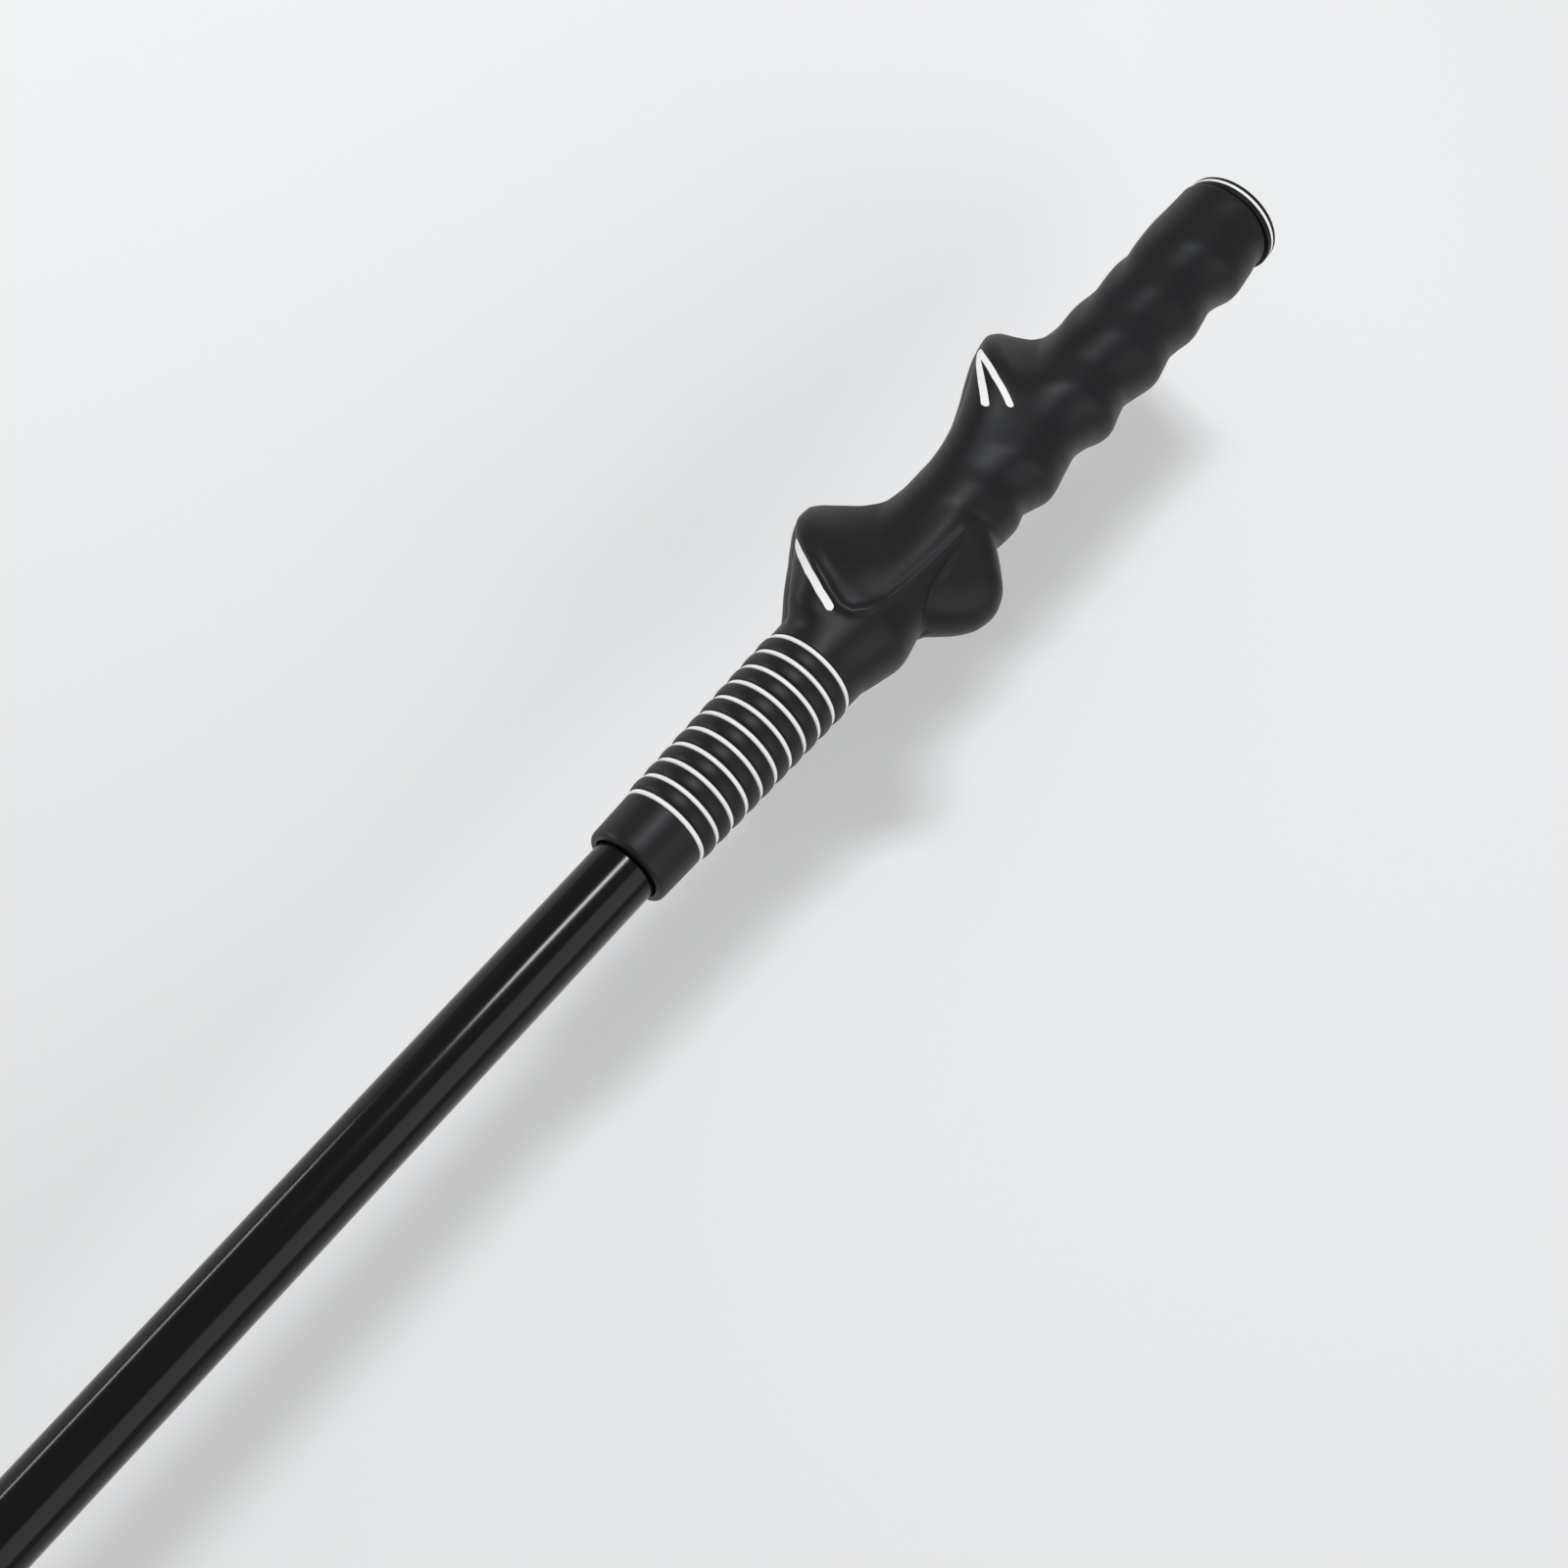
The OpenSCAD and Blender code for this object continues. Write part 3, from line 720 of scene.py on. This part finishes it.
    def channel(self, x: np.ndarray, theta: np.ndarray) -> np.ndarray:
        """Relief of the thumb channel on the top side: its hollow, its rim and the valley outside it."""
        inside, along = self.line_distance(self.rim, x, np.abs(theta))
        shown = soft_step(theta, -6, 14)
        fade = soft_step(along, 0.0, 0.1)
        bowl = ((x - self.bowl[0]) / 17) ** 2 + ((theta - self.bowl[1]) / 34) ** 2
        hollow = -self.hollow_depth * np.exp(-bowl * 1.2)
        rim = self.rim_height * np.exp(-((inside / 1.2) ** 2)) * fade
        valley = -self.valley_depth * np.exp(-(((inside + 4.2) / 2.6) ** 2)) * soft_step(x, 138, 148)
        valley *= 1 - soft_step(x, 166, 180)
        return (hollow + rim + valley) * shown

    def cleft(self, x: np.ndarray, theta: np.ndarray) -> np.ndarray:
        """The crease where the trigger meets the body, and the swell of the trigger behind it."""
        root, along = self.line_distance(self.cleft_line, x, np.abs(theta))
        ends = soft_step(along, 0.0, 0.25) * (1 - soft_step(along, 0.92, 1.0))
        crease = -self.crease_depth * np.exp(-((root / 1.3) ** 2)) * ends
        swell = ((x - 155) / 7.0) ** 2 + ((np.abs(theta) - 140) / 16) ** 2
        return crease + self.swell_height * np.exp(-swell)


@dataclass
class Grip:
    """The moulded sleeve with its painted rings and marks, and the cap in its butt."""

    form: GripForm
    start: float
    along: int = 430
    round_steps: int = 192
    rib_bulge: float = 0.62
    ring_groove: float = 0.55
    cap_radius: float = 15.2
    ring_section: Outline = (
        (-0.7, -0.52), (-0.68, -0.2), (-0.4, 0.04), (0, 0.1), (0.4, 0.04), (0.68, -0.2), (0.7, -0.52),
    )

    def rib_relief(self, x: np.ndarray) -> np.ndarray:
        """Round ribs between the rings, and the groove that each ring lies in."""
        rings = self.form.ring_stations()
        last, first = rings[0], rings[-1]
        between = (x - first) / self.form.ring_pitch
        bulge = self.rib_bulge * np.abs(np.sin(np.pi * between)) ** 0.7
        bulge *= (x > first) & (x < last)
        gap = np.min(np.abs(x[..., None] - np.array(rings)), axis=-1)
        groove = -self.ring_groove * (1 - soft_step(gap, 0.74, 1.0))
        return bulge + groove

    def stations(self) -> np.ndarray:
        """Stations of the skin's rings: even along the hand, and closer over the ribs."""
        form = self.form
        first = form.ring_stations()[-1] - 2.0
        last = form.ring_stations()[0] + 2.0
        hand = np.linspace(self.start, first, int(self.along * 0.62), endpoint=False)
        ribs = np.linspace(first, last, int(self.along * 0.36), endpoint=False)
        collar = np.linspace(last, form.mouth - 1.4, 6)
        return np.concatenate([hand, ribs, collar])

    def skin(self) -> bmesh.types.BMesh:
        """Rolls a grid into the skin, then closes it over the mouth lip and down the bore."""
        stations = self.stations()
        rows, columns = len(stations), self.round_steps
        mesh = bmesh.new()
        bmesh.ops.create_grid(mesh, x_segments=rows - 1, y_segments=columns, size=1.0)
        mesh.verts.ensure_lookup_table()
        place = np.array([v.co[:2] for v in mesh.verts])
        row = np.rint((place[:, 0] + 1) / 2 * (rows - 1)).astype(int)
        theta = place[:, 1] * 180.0
        x = stations[row]
        radius = self.form.radius(x, theta) + self.rib_relief(x)
        radius = np.where(x > self.form.ring_stations()[0] + 1.0, self.collar(x), radius)
        radius -= 0.5 * (1 - soft_step(x, self.start, self.start + 0.7)) ** 2
        angle = np.radians(theta)
        y, z = -radius * np.cos(angle), radius * np.sin(angle)
        for vert, px, py, pz in zip(mesh.verts, x, y, z):
            vert.co = (px * MM, py * MM, pz * MM)
        bmesh.ops.remove_doubles(mesh, verts=mesh.verts[:], dist=1e-6)
        self.close_ends(mesh)
        bmesh.ops.recalc_face_normals(mesh, faces=mesh.faces[:])
        return mesh

    def collar(self, x: np.ndarray) -> np.ndarray:
        """Radius of the plain collar at the mouth."""
        start = self.form.ring_stations()[0] + 1.0
        t = (x - start) / (self.form.mouth - start)
        return self.form.collar_radius + 0.15 - 0.35 * t

    def close_ends(self, mesh: bmesh.types.BMesh) -> None:
        """Extrudes both open ends: over the rounded lip and down the bore, and in at the butt."""
        mouth, bore = self.form.mouth, self.form.bore
        outer = self.form.collar_radius - 0.2
        lip = [
            (mouth - 0.75, outer - 0.12), (mouth - 0.3, outer - 0.42), (mouth - 0.05, outer - 0.95),
            (mouth, outer - 1.5), (mouth - 0.15, bore + 0.55), (mouth - 0.7, bore + 0.3), (mouth - 6, bore + 0.05),
        ]
        rim = [e for e in mesh.edges if e.is_boundary and e.verts[0].co.x > mouth * MM / 2]
        for x, r in lip:
            rim = self.extrude_ring(mesh, rim, x, r)
        rim = [e for e in mesh.edges if e.is_boundary and e.verts[0].co.x < mouth * MM / 2]
        for x, r in ((self.start, bore + 2.2), (self.start + 6, bore + 2.0)):
            rim = self.extrude_ring(mesh, rim, x, r)

    @staticmethod
    def extrude_ring(
        mesh: bmesh.types.BMesh, edges: list[bmesh.types.BMEdge], x: float, r: float
    ) -> list[bmesh.types.BMEdge]:
        """Extrudes a ring of edges to a station and a radius, and gives the new ring."""
        out = bmesh.ops.extrude_edge_only(mesh, edges=edges)["geom"]
        for vert in (g for g in out if isinstance(g, bmesh.types.BMVert)):
            flat = Vector((0, vert.co.y, vert.co.z)).normalized() * r * MM
            vert.co = (x * MM, flat.y, flat.z)
        return [g for g in out if isinstance(g, bmesh.types.BMEdge) and g.is_boundary]

    def rings(self) -> bmesh.types.BMesh:
        """The painted rings, slightly domed, in the grooves of the ribbed zone."""
        mesh = bmesh.new()
        for x in self.form.ring_stations():
            r = float(self.form.ribbed_core(np.array(x)))
            add_shape(mesh, spun([(x + dx, r + dr) for dx, dr in self.ring_section], 128))
        return mesh

    def stroke(self, path: Outline, width: float, proud: float = 0.13) -> bmesh.types.BMesh:
        """A painted stroke with round ends that lies on the skin.

        Args:
            path: (station, angle) points of its middle.
            width: Its width in millimetres.
            proud: Its height above the skin.

        Returns:
            The stroke, in metres.
        """
        steps, across = 48, 6
        per_degree = math.radians(self.form.flank)
        corners = np.array([(x, angle * per_degree) for x, angle in path])
        lengths = np.concatenate([[0], np.cumsum(np.hypot(*np.diff(corners, axis=0).T))])
        mesh = bmesh.new()
        bmesh.ops.create_grid(mesh, x_segments=steps, y_segments=across, size=1.0)
        half = width / 2
        total = lengths[-1]
        for vert in mesh.verts:
            u, v = vert.co.x, vert.co.y
            s = (u + 1) / 2 * total
            end = min(s, total - s)
            room = math.sqrt(max(half * half - max(half - end, 0) ** 2, 0.0)) * (0.6 + 0.4 * s / total)
            here = np.array([np.interp(s, lengths, corners[:, k]) for k in (0, 1)])
            ahead = np.array([np.interp(min(s + 0.5, total), lengths, corners[:, k]) for k in (0, 1)])
            back = np.array([np.interp(max(s - 0.5, 0), lengths, corners[:, k]) for k in (0, 1)])
            run = (ahead - back) / np.hypot(*(ahead - back))
            x, arc = here + np.array([-run[1], run[0]]) * v * room
            theta = arc / per_degree
            dome = proud * (1 - v * v * 0.35)
            r = float(self.form.radius(np.array(x), np.array(theta))) + dome
            angle = math.radians(theta)
            vert.co = (x * MM, -r * math.cos(angle) * MM, r * math.sin(angle) * MM)
        bmesh.ops.remove_doubles(mesh, verts=mesh.verts[:], dist=2e-6)
        bmesh.ops.recalc_face_normals(mesh, faces=mesh.faces[:])
        bmesh.ops.solidify(mesh, geom=mesh.faces[:], thickness=0.35 * MM)
        return mesh

    def marks(self) -> bmesh.types.BMesh:
        """The marks on both crests, on both sides of the grip."""
        paths = [
            (((94.2, 8), (99.5, 17), (105.5, 29), (111.5, 42)), 1.9),
            (((94.2, 8), (98.0, 20), (102.5, 36), (107.0, 58)), 1.9),
            (((178.0, 13), (182.0, 24), (185.2, 35), (187.8, 48), (189.8, 65)), 2.3),
        ]
        mesh = bmesh.new()
        for path, width in paths:
            for side in (1, -1):
                shift = 0.0 if side > 0 else self.form.hidden_lean - self.form.thumb_lean
                turned = [(x + shift * math.sin(math.radians(min(1.5 * a, 90))), side * a) for x, a in path]
                add_shape(mesh, self.stroke(turned, width))
        return mesh

    def cap(self) -> bmesh.types.BMesh:
        """The butt cap: a slightly dished face with a vent hole and a rounded rim."""
        edge = self.cap_radius
        outline = rounded([
            (0.0, 1.3, 0.3), (0.6, 4.0, 0.6), (0.0, 6.0, 0.6), (0.0, edge - 0.1, 0.7), (1.3, edge, 0.1),
            (1.3, edge - 0.35, 0), (2.35, edge - 0.35, 0), (2.35, edge, 0.1), (self.start, edge + 0.1, 0.3),
            (self.start, self.form.bore + 2.0, 0), (self.start + 6, self.form.bore + 1.5, 0),
            (self.start + 6, 1.3, 0),
        ])
        return spun(outline, 128)

    def cap_ring(self) -> bmesh.types.BMesh:
        """The painted ring in the cap's groove."""
        r = self.cap_radius
        outline = [
            (1.32, r - 0.36), (1.34, r - 0.12), (1.55, r - 0.02), (1.82, r), (2.1, r - 0.02), (2.3, r - 0.12),
            (2.32, r - 0.36),
        ]
        return spun(outline, 128)

    def build(self) -> None:
        """Builds and dresses the grip's pieces."""
        finish_piece(
            "grip_skin", self.skin(), GRIP_RUBBER, Body.HANDLE, ("grip_sleeve",), sharp=50
        )
        finish_piece("grip_ring_paint", self.rings(), MARK_PAINT, Body.HANDLE, ("white_rings",))
        finish_piece("grip_mark_paint", self.marks(), MARK_PAINT, Body.HANDLE, sharp=60)
        finish_piece("butt_cap_skin", self.cap(), CAP_RUBBER, Body.HANDLE, ("butt_cap",))
        finish_piece("butt_ring_paint", self.cap_ring(), MARK_PAINT, Body.HANDLE)


# --------------------------------------------------------------------- tubes


@dataclass
class Section:
    """One tube of the shaft, with rolled ends."""

    node: str
    wall: float
    finish: Finish
    body: Body
    slot: Slot

    def build(self) -> None:
        """A finely spun tube in place of the CAD tube."""
        start, end, r = span(self.node)
        outline = rounded([
            (start, r - self.wall, 0.2), (start, r, 0.3), (end, r, 0.3), (end, r - self.wall, 0.2)
        ])
        finish_piece(self.node + "_drawn", spun(outline, 160), self.finish, self.body, (self.node,))


@dataclass
class TwistLock:
    """A twist lock: threaded body, fluted nut and wiper."""

    number: int
    body: Body
    nut_body: Body
    flutes: int = 14
    flute_depth: float = 0.95
    nut_wall: float = 2.6
    wiper_seat: float = 1.6

    def nut(self) -> bmesh.types.BMesh:
        """The fluted nut: spun, then its outside pressed in by the flutes."""
        start, end, r = span(f"twist_nut_{self.number}")
        wiper_r = span(f"wiper_{self.number}")[2]
        seat_r = wiper_r - self.wiper_seat
        flute_from, flute_to = start + 5, end - 7
        body = [(flute_from + (flute_to - flute_from) * k / 16, r, 0) for k in range(17)]
        outline = rounded([
            (start, r - self.nut_wall, 0.2), (start, r - 0.3, 0.7), (start + 2.6, r, 0.5), *body, (end - 4.4, r, 1.6),
            (end - 0.8, wiper_r + 2.1, 0.6), (end, wiper_r + 1.3, 0.3), (end, wiper_r + 0.02, 0.15),
            (end - 4.4, wiper_r + 0.02, 0), (end - 4.4, seat_r, 0), (start + 14.4, seat_r, 0),
            (start + 14.2, r - self.nut_wall, 0),
        ])
        mesh = spun(outline, self.flutes * 14)
        for vert in mesh.verts:
            x = vert.co.x / MM
            radius = math.hypot(vert.co.y, vert.co.z) / MM
            if radius < r - 0.6 or not flute_from <= x <= flute_to:
                continue
            turn = math.atan2(vert.co.y, vert.co.z) * self.flutes
            end_gap = min(x - flute_from, flute_to - x)
            depth = self.flute_depth * max(0.0, math.cos(turn)) ** 1.6 * min(1.0, (end_gap / 1.8)) ** 0.5
            scale = 1 - depth / radius
            vert.co.y *= scale
            vert.co.z *= scale
        return mesh

    def build(self) -> None:
        """Builds the nut and softens the lock body."""
        tag = self.number
        finish_piece(
            f"twist_nut_{tag}_moulded", self.nut(), LOCK_PLASTIC, self.nut_body,
            (f"twist_nut_{tag}",), sharp=40,
        )
        finish_piece(
            f"lock_body_{tag}_moulded", softened_node(f"lock_body_{tag}", 0.18), LOCK_PLASTIC, self.body,
            (f"lock_body_{tag}",),
        )


@dataclass
class Bail:
    """A bent wire bail of the ball cup."""

    node: str
    body: Body
    side: int
    bend: float = 2.6
    leg: float = 8.0

    def build(self) -> None:
        """Sweeps the wire along its bent path."""
        low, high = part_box(self.node)
        wire = (high.z - low.z) / 2
        middle = (low.x + high.x) / 2
        z = (low.z + high.z) / 2
        outer, inner = (high.y - wire, low.y + wire) if self.side > 0 else (low.y + wire, high.y - wire)
        leg = self.leg * MM
        corners = [
            Vector((low.x, outer, z)), Vector((middle - leg, outer, z)), Vector((middle - leg, inner, z)),
            Vector((middle + leg, inner, z)), Vector((middle + leg, outer, z)), Vector((high.x, outer, z)),
        ]
        mesh = bmesh.new()
        path = self.rounded_path(corners)
        ring = bmesh.ops.create_circle(mesh, cap_ends=True, radius=wire, segments=20)["verts"]
        bmesh.ops.transform(mesh, matrix=self.facing(path[0], path[1]), verts=ring)
        face = next(iter(mesh.faces))
        for before, here, after in zip(path, path[1:], path[2:] + [path[-1] * 2 - path[-2]]):
            new = bmesh.ops.extrude_face_region(mesh, geom=[face])["geom"]
            verts = [g for g in new if isinstance(g, bmesh.types.BMVert)]
            old = face
            face = [g for g in new if isinstance(g, bmesh.types.BMFace)][0]
            bmesh.ops.delete(mesh, geom=[old], context="FACES_ONLY")
            centre = sum((v.co for v in verts), Vector()) / len(verts)
            turn = (here - before).rotation_difference(after - here)
            place = Matrix.Translation(here) @ turn.to_matrix().to_4x4() @ Matrix.Translation(-centre)
            bmesh.ops.transform(mesh, matrix=place, verts=verts)
        bmesh.ops.recalc_face_normals(mesh, faces=mesh.faces[:])
        finish_piece(self.node + "_wire", mesh, BRIGHT_STEEL, self.body, (self.node,), sharp=50)

    def rounded_path(self, corners: list[Vector], steps: int = 7) -> list[Vector]:
        """The wire's middle line, with its corners bent round."""
        path = [corners[0]]
        for before, here, after in zip(corners, corners[1:], corners[2:]):
            reach = min(self.bend * MM, 0.49 * (here - before).length, 0.49 * (after - here).length)
            start = here + (before - here).normalized() * reach
            end = here + (after - here).normalized() * reach
            for k in range(steps):
                t = k / (steps - 1)
                path.append(start * (1 - t) ** 2 + here * (2 * t * (1 - t)) + end * t * t)
        path.append(corners[-1])
        return path

    @staticmethod
    def facing(start: Vector, ahead: Vector) -> Matrix:
        """Places a ring drawn in XY at a point, facing along a run."""
        turn = Vector((0, 0, 1)).rotation_difference(ahead - start)
        return Matrix.Translation(start) @ turn.to_matrix().to_4x4()


@dataclass
class BallCup:
    """The open ball cup: a spun wall with drain slots, and the ledges that the bails rest on."""

    wall: float = 3.6
    slots: tuple[int, ...] = (-60, -30, 0, 30, 60)
    slot_width: float = 7.0
    steps: int = 144
    ledge_drop: float = 1.12
    ledge_depth: float = 2.4
    ledge_tip: float = 21.55

    def measure(self) -> None:
        """Takes the cup's place and size from the frame."""
        low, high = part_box("cup_ring")
        self.centre = Vector(((low.x + high.x) / 2, 0.0, 0.0))
        self.outer = (high.y - low.y) / 2 / MM
        self.inner = self.outer - self.wall
        self.bottom, self.top = low.z / MM, high.z / MM
        bail_low, bail_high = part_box("bail_left")
        self.wire_z = (bail_low.z + bail_high.z) / 2 / MM
        self.slot_from, self.slot_to = self.wire_z + 6, self.top - 8

    def profile(self) -> list[tuple[float, float]]:
        """Closed outline of the wall as (radius, height), with rounded rims."""
        corners = [
            (self.outer, self.bottom, 0.9), (self.outer, self.top, 1.5), (self.inner, self.top, 1.5),
            (self.inner, self.bottom, 1.1),
        ]
        points = rounded(corners, 6)
        heights = (self.slot_from, self.slot_to)
        walls: list[tuple[float, float]] = []
        for here, ahead in zip(points, points[1:] + points[:1]):
            walls.append(here)
            if abs(ahead[1] - here[1]) > 5:
                ordered = heights if ahead[1] > here[1] else heights[::-1]
                walls.extend((here[0], z) for z in ordered)
        return walls

    def shell(self) -> bmesh.types.BMesh:
        """Spins the wall, then cuts the slots through it and rounds their edges."""
        mesh = full_turn([(r * MM, 0.0, z * MM) for r, z in self.profile()], (0, 0, 1), self.steps)
        half = math.degrees(math.asin(self.slot_width / 2 / self.outer))
        self.align_columns(mesh, half)
        for slot in self.slots:
            self.cut_slot(mesh, slot, half)
        hard = [
            e for e in mesh.edges
            if e.is_manifold and e.calc_face_angle(0.0) > math.radians(60) and self.near_slot(e)
        ]
        round_edges(mesh, hard, 0.45, segments=3)
        bmesh.ops.translate(mesh, verts=mesh.verts[:], vec=self.centre)
        return mesh

    def near_slot(self, edge: bmesh.types.BMEdge) -> bool:
        """Whether an edge lies on a slot and not on a rim."""
        middle = (edge.verts[0].co.z + edge.verts[1].co.z) / 2 / MM
        return self.slot_from - 0.1 <= middle <= self.slot_to + 0.1

    def align_columns(self, mesh: bmesh.types.BMesh, half: float) -> None:
        """Turns the columns of vertices next to a slot's edges on to them."""
        pitch = 360 / self.steps
        for vert in mesh.verts:
            angle = math.degrees(math.atan2(vert.co.y, vert.co.x))
            for slot in self.slots:
                for side in (-1, 1):
                    edge = slot + side * half
                    if abs(angle - edge) < pitch / 2:
                        radius = math.hypot(vert.co.x, vert.co.y)
                        turn = math.radians(edge)
                        vert.co.x, vert.co.y = radius * math.cos(turn), radius * math.sin(turn)

    def cut_slot(self, mesh: bmesh.types.BMesh, slot: float, half: float) -> None:
        """Opens one slot and bridges its two rims through the wall."""
        inside = []
        for face in mesh.faces:
            middle = face.calc_center_median()
            angle = math.degrees(math.atan2(middle.y, middle.x))
            if abs(angle - slot) < half and self.slot_from < middle.z / MM < self.slot_to:
                inside.append(face)
        bmesh.ops.delete(mesh, geom=inside, context="FACES")
        rims = [e for e in mesh.edges if e.is_boundary]
        bmesh.ops.bridge_loops(mesh, edges=rims)

    def ledges(self) -> bmesh.types.BMesh:
        """Four small ledges inside the wall, under the legs of the bails."""
        mesh = bmesh.new()
        top = self.wire_z - self.ledge_drop
        depth = self.ledge_depth
        for side_x in (-1, 1):
            for side_y in (-1, 1):
                x = side_x * Bail.leg
                outer = math.sqrt((self.inner + 0.6) ** 2 - x * x)
                inner = math.sqrt(self.ledge_tip**2 - x * x)
                block = bmesh.ops.create_cube(mesh, size=1.0)["verts"]
                bmesh.ops.scale(mesh, vec=(4 * MM, (outer - inner) * MM, depth * MM), verts=block)
                place = Vector((x, side_y * (outer + inner) / 2, top - depth / 2)) * MM + self.centre
                bmesh.ops.translate(mesh, verts=block, vec=place)
        round_edges(mesh, mesh.edges[:], 0.4, segments=3)
        return mesh

    def build(self) -> None:
        """Builds the cup's pieces."""
        self.measure()
        finish_piece("ball_cup_wall", self.shell(), CUP_PLASTIC, Body.HEAD, ("cup_ring",), sharp=40)
        finish_piece("ball_cup_ledges", self.ledges(), CUP_PLASTIC, Body.HEAD)


@dataclass
class Head:
    """The folding neck, the ball cup and its bails."""

    def build(self) -> None:
        """Softened mouldings, wires and hardware."""
        softened = (
            ("fork_ferrule", 0.4, LOCK_PLASTIC, Body.INNER, Slot.LOCK),
            ("neck_arm", 0.5, LOCK_PLASTIC, Body.HEAD, Slot.LOCK),
            ("thumb_knob", 0.5, LOCK_PLASTIC, Body.KNOB, Slot.LOCK),
            ("hinge_bolt", 0.25, BRIGHT_STEEL, Body.INNER, Slot.STEEL),
        )
        for node, width, finish, body, slot in softened:
            finish_piece(node + "_moulded", softened_node(node, width), finish, body, (node,))
        BallCup().build()
        Bail("bail_left", Body.BAIL_LEFT, -1).build()
        Bail("bail_right", Body.BAIL_RIGHT, 1).build()


def dress_cad_nodes() -> None:
    """Gives every CAD node that stays its finish."""
    finishes = {
        "stow_bumper": SEAL_RUBBER, "wiper_1": SEAL_RUBBER, "wiper_2": SEAL_RUBBER,
        "collet_1": BUSH_PLASTIC, "collet_2": BUSH_PLASTIC, "middle_bush": BUSH_PLASTIC,
        "inner_bush": BUSH_PLASTIC, "ferrule_rivet": BRIGHT_STEEL, "knob_washer": BRIGHT_STEEL,
        "cup_screws": BRIGHT_STEEL, "knob_insert": BRASS,
    }
    for node, finish in finishes.items():
        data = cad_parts[node].data
        data.materials.clear()
        data.materials.append(finish.material())


# --------------------------------------------------------------------- stage


@dataclass
class Studio:
    """The pale floor, the soft lights and the camera."""

    floor_z: float
    mouth_x: float

    def floor(self) -> None:
        """A wide pale floor under the tool."""
        mesh = bmesh.new()
        bmesh.ops.create_grid(mesh, x_segments=2, y_segments=2, size=6.0)
        data = bpy.data.meshes.new("floor")
        mesh.to_mesh(data)
        mesh.free()
        data.transform(Matrix.Translation((0.3, 0, self.floor_z)))
        floor = bpy.data.objects.new("floor", data)
        bpy.context.scene.collection.objects.link(floor)
        kit = NodeKit("pale_floor")
        kit.surface.inputs["Base Color"].default_value = (0.93, 0.93, 0.93, 1)
        kit.surface.inputs["Roughness"].default_value = 0.9
        kit.surface.inputs["Specular IOR Level"].default_value = 0.1
        data.materials.append(kit.material)

    def light(
        self, name: str, place: Sequence[float], target: Sequence[float], size: tuple[float, float], power: float
    ) -> None:
        """One soft rectangular light.

        Args:
            name: The light's name.
            place: Its centre, in metres.
            target: The point that it faces.
            size: Its two sides.
            power: Its power in watts.
        """
        data = bpy.data.lights.new(name, "AREA")
        data.shape = "RECTANGLE"
        data.size, data.size_y = size
        data.energy = power
        data.color = (0.96, 0.98, 1.0)
        lamp = bpy.data.objects.new(name, data)
        bpy.context.scene.collection.objects.link(lamp)
        away = Vector(place) - Vector(target)
        lamp.matrix_world = Matrix.Translation(place) @ away.to_track_quat("Z", "Y").to_matrix().to_4x4()

    def world(self, strength: float) -> None:
        """An even white surround."""
        world = bpy.data.worlds.new("surround")
        world.use_nodes = True
        world.node_tree.nodes["Background"].inputs["Color"].default_value = (1, 1, 1, 1)
        world.node_tree.nodes["Background"].inputs["Strength"].default_value = strength
        bpy.context.scene.world = world

    def camera(self) -> None:
        """Looks back up the shaft from above, with the tool running from lower left to upper right."""
        right = Vector((-0.62337, 0.73072, 0.27832))
        back = Vector((0.38819, -0.01978, 0.92137))
        back.normalize()
        right = (right - back * right.dot(back)).normalized()
        up = back.cross(right)
        data = bpy.data.cameras.new("camera")
        data.sensor_width = 36.0
        data.lens = 67.5
        camera = bpy.data.objects.new("camera", data)
        bpy.context.scene.collection.objects.link(camera)
        turn = Matrix((right, up, back)).transposed().to_4x4()
        camera.matrix_world = Matrix.Translation((self.mouth_x + 0.2535, 0.0, 0.7146)) @ turn
        bpy.context.scene.camera = camera

    def build(self) -> None:
        """Sets the stage."""
        self.floor()
        bpy.context.scene.view_settings.view_transform = "Standard"
        self.world(0.4)
        self.light("overhead", (-0.13, -0.35, 1.05), (0.12, 0, 0), (0.34, 0.14), 5.0)
        self.light("softbox", (0.3, 1.35, 1.25), (0.2, 0, 0), (1.9, 1.6), 12.5)
        self.light("low_strip", (0.5, -1.0, 0.14), (0.45, 0, 0), (0.62, 0.06), 2.2)
        self.camera()


def floor_height(gap_mm: float = 2.0) -> float:
    """Height of a floor that the folded head stays clear of.

    Args:
        gap_mm: Least room under the head.

    Returns:
        The height, in metres.
    """
    low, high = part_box("hinge_bolt")
    hinge = (low + high) / 2
    reach = CAD_BOX[1][0] - hinge.x
    return min(CAD_BOX[0][2], hinge.z - reach - gap_mm * MM)


def main() -> None:
    """Builds the retriever in order."""
    logging.basicConfig(level=logging.INFO, format="%(message)s")
    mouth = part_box("grip_sleeve")[1].x
    outer_r = span("outer_tube")[2]
    form = GripForm(mouth=mouth / MM, bore=outer_r)
    Studio(floor_height(), mouth).build()
    Grip(form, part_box("grip_sleeve")[0].x / MM).build()
    Section("outer_tube", 0.9, TUBE_LACQUER, Body.HANDLE, Slot.TUBE).build()
    Section("middle_tube", 0.9, SECTION_METAL, Body.MIDDLE, Slot.SECTION).build()
    Section("inner_tube", 0.9, SECTION_METAL, Body.INNER, Slot.SECTION).build()
    TwistLock(1, Body.HANDLE, Body.NUT_1).build()
    TwistLock(2, Body.MIDDLE, Body.NUT_2).build()
    Head().build()
    dress_cad_nodes()


if __name__ == "__main__":
    main()
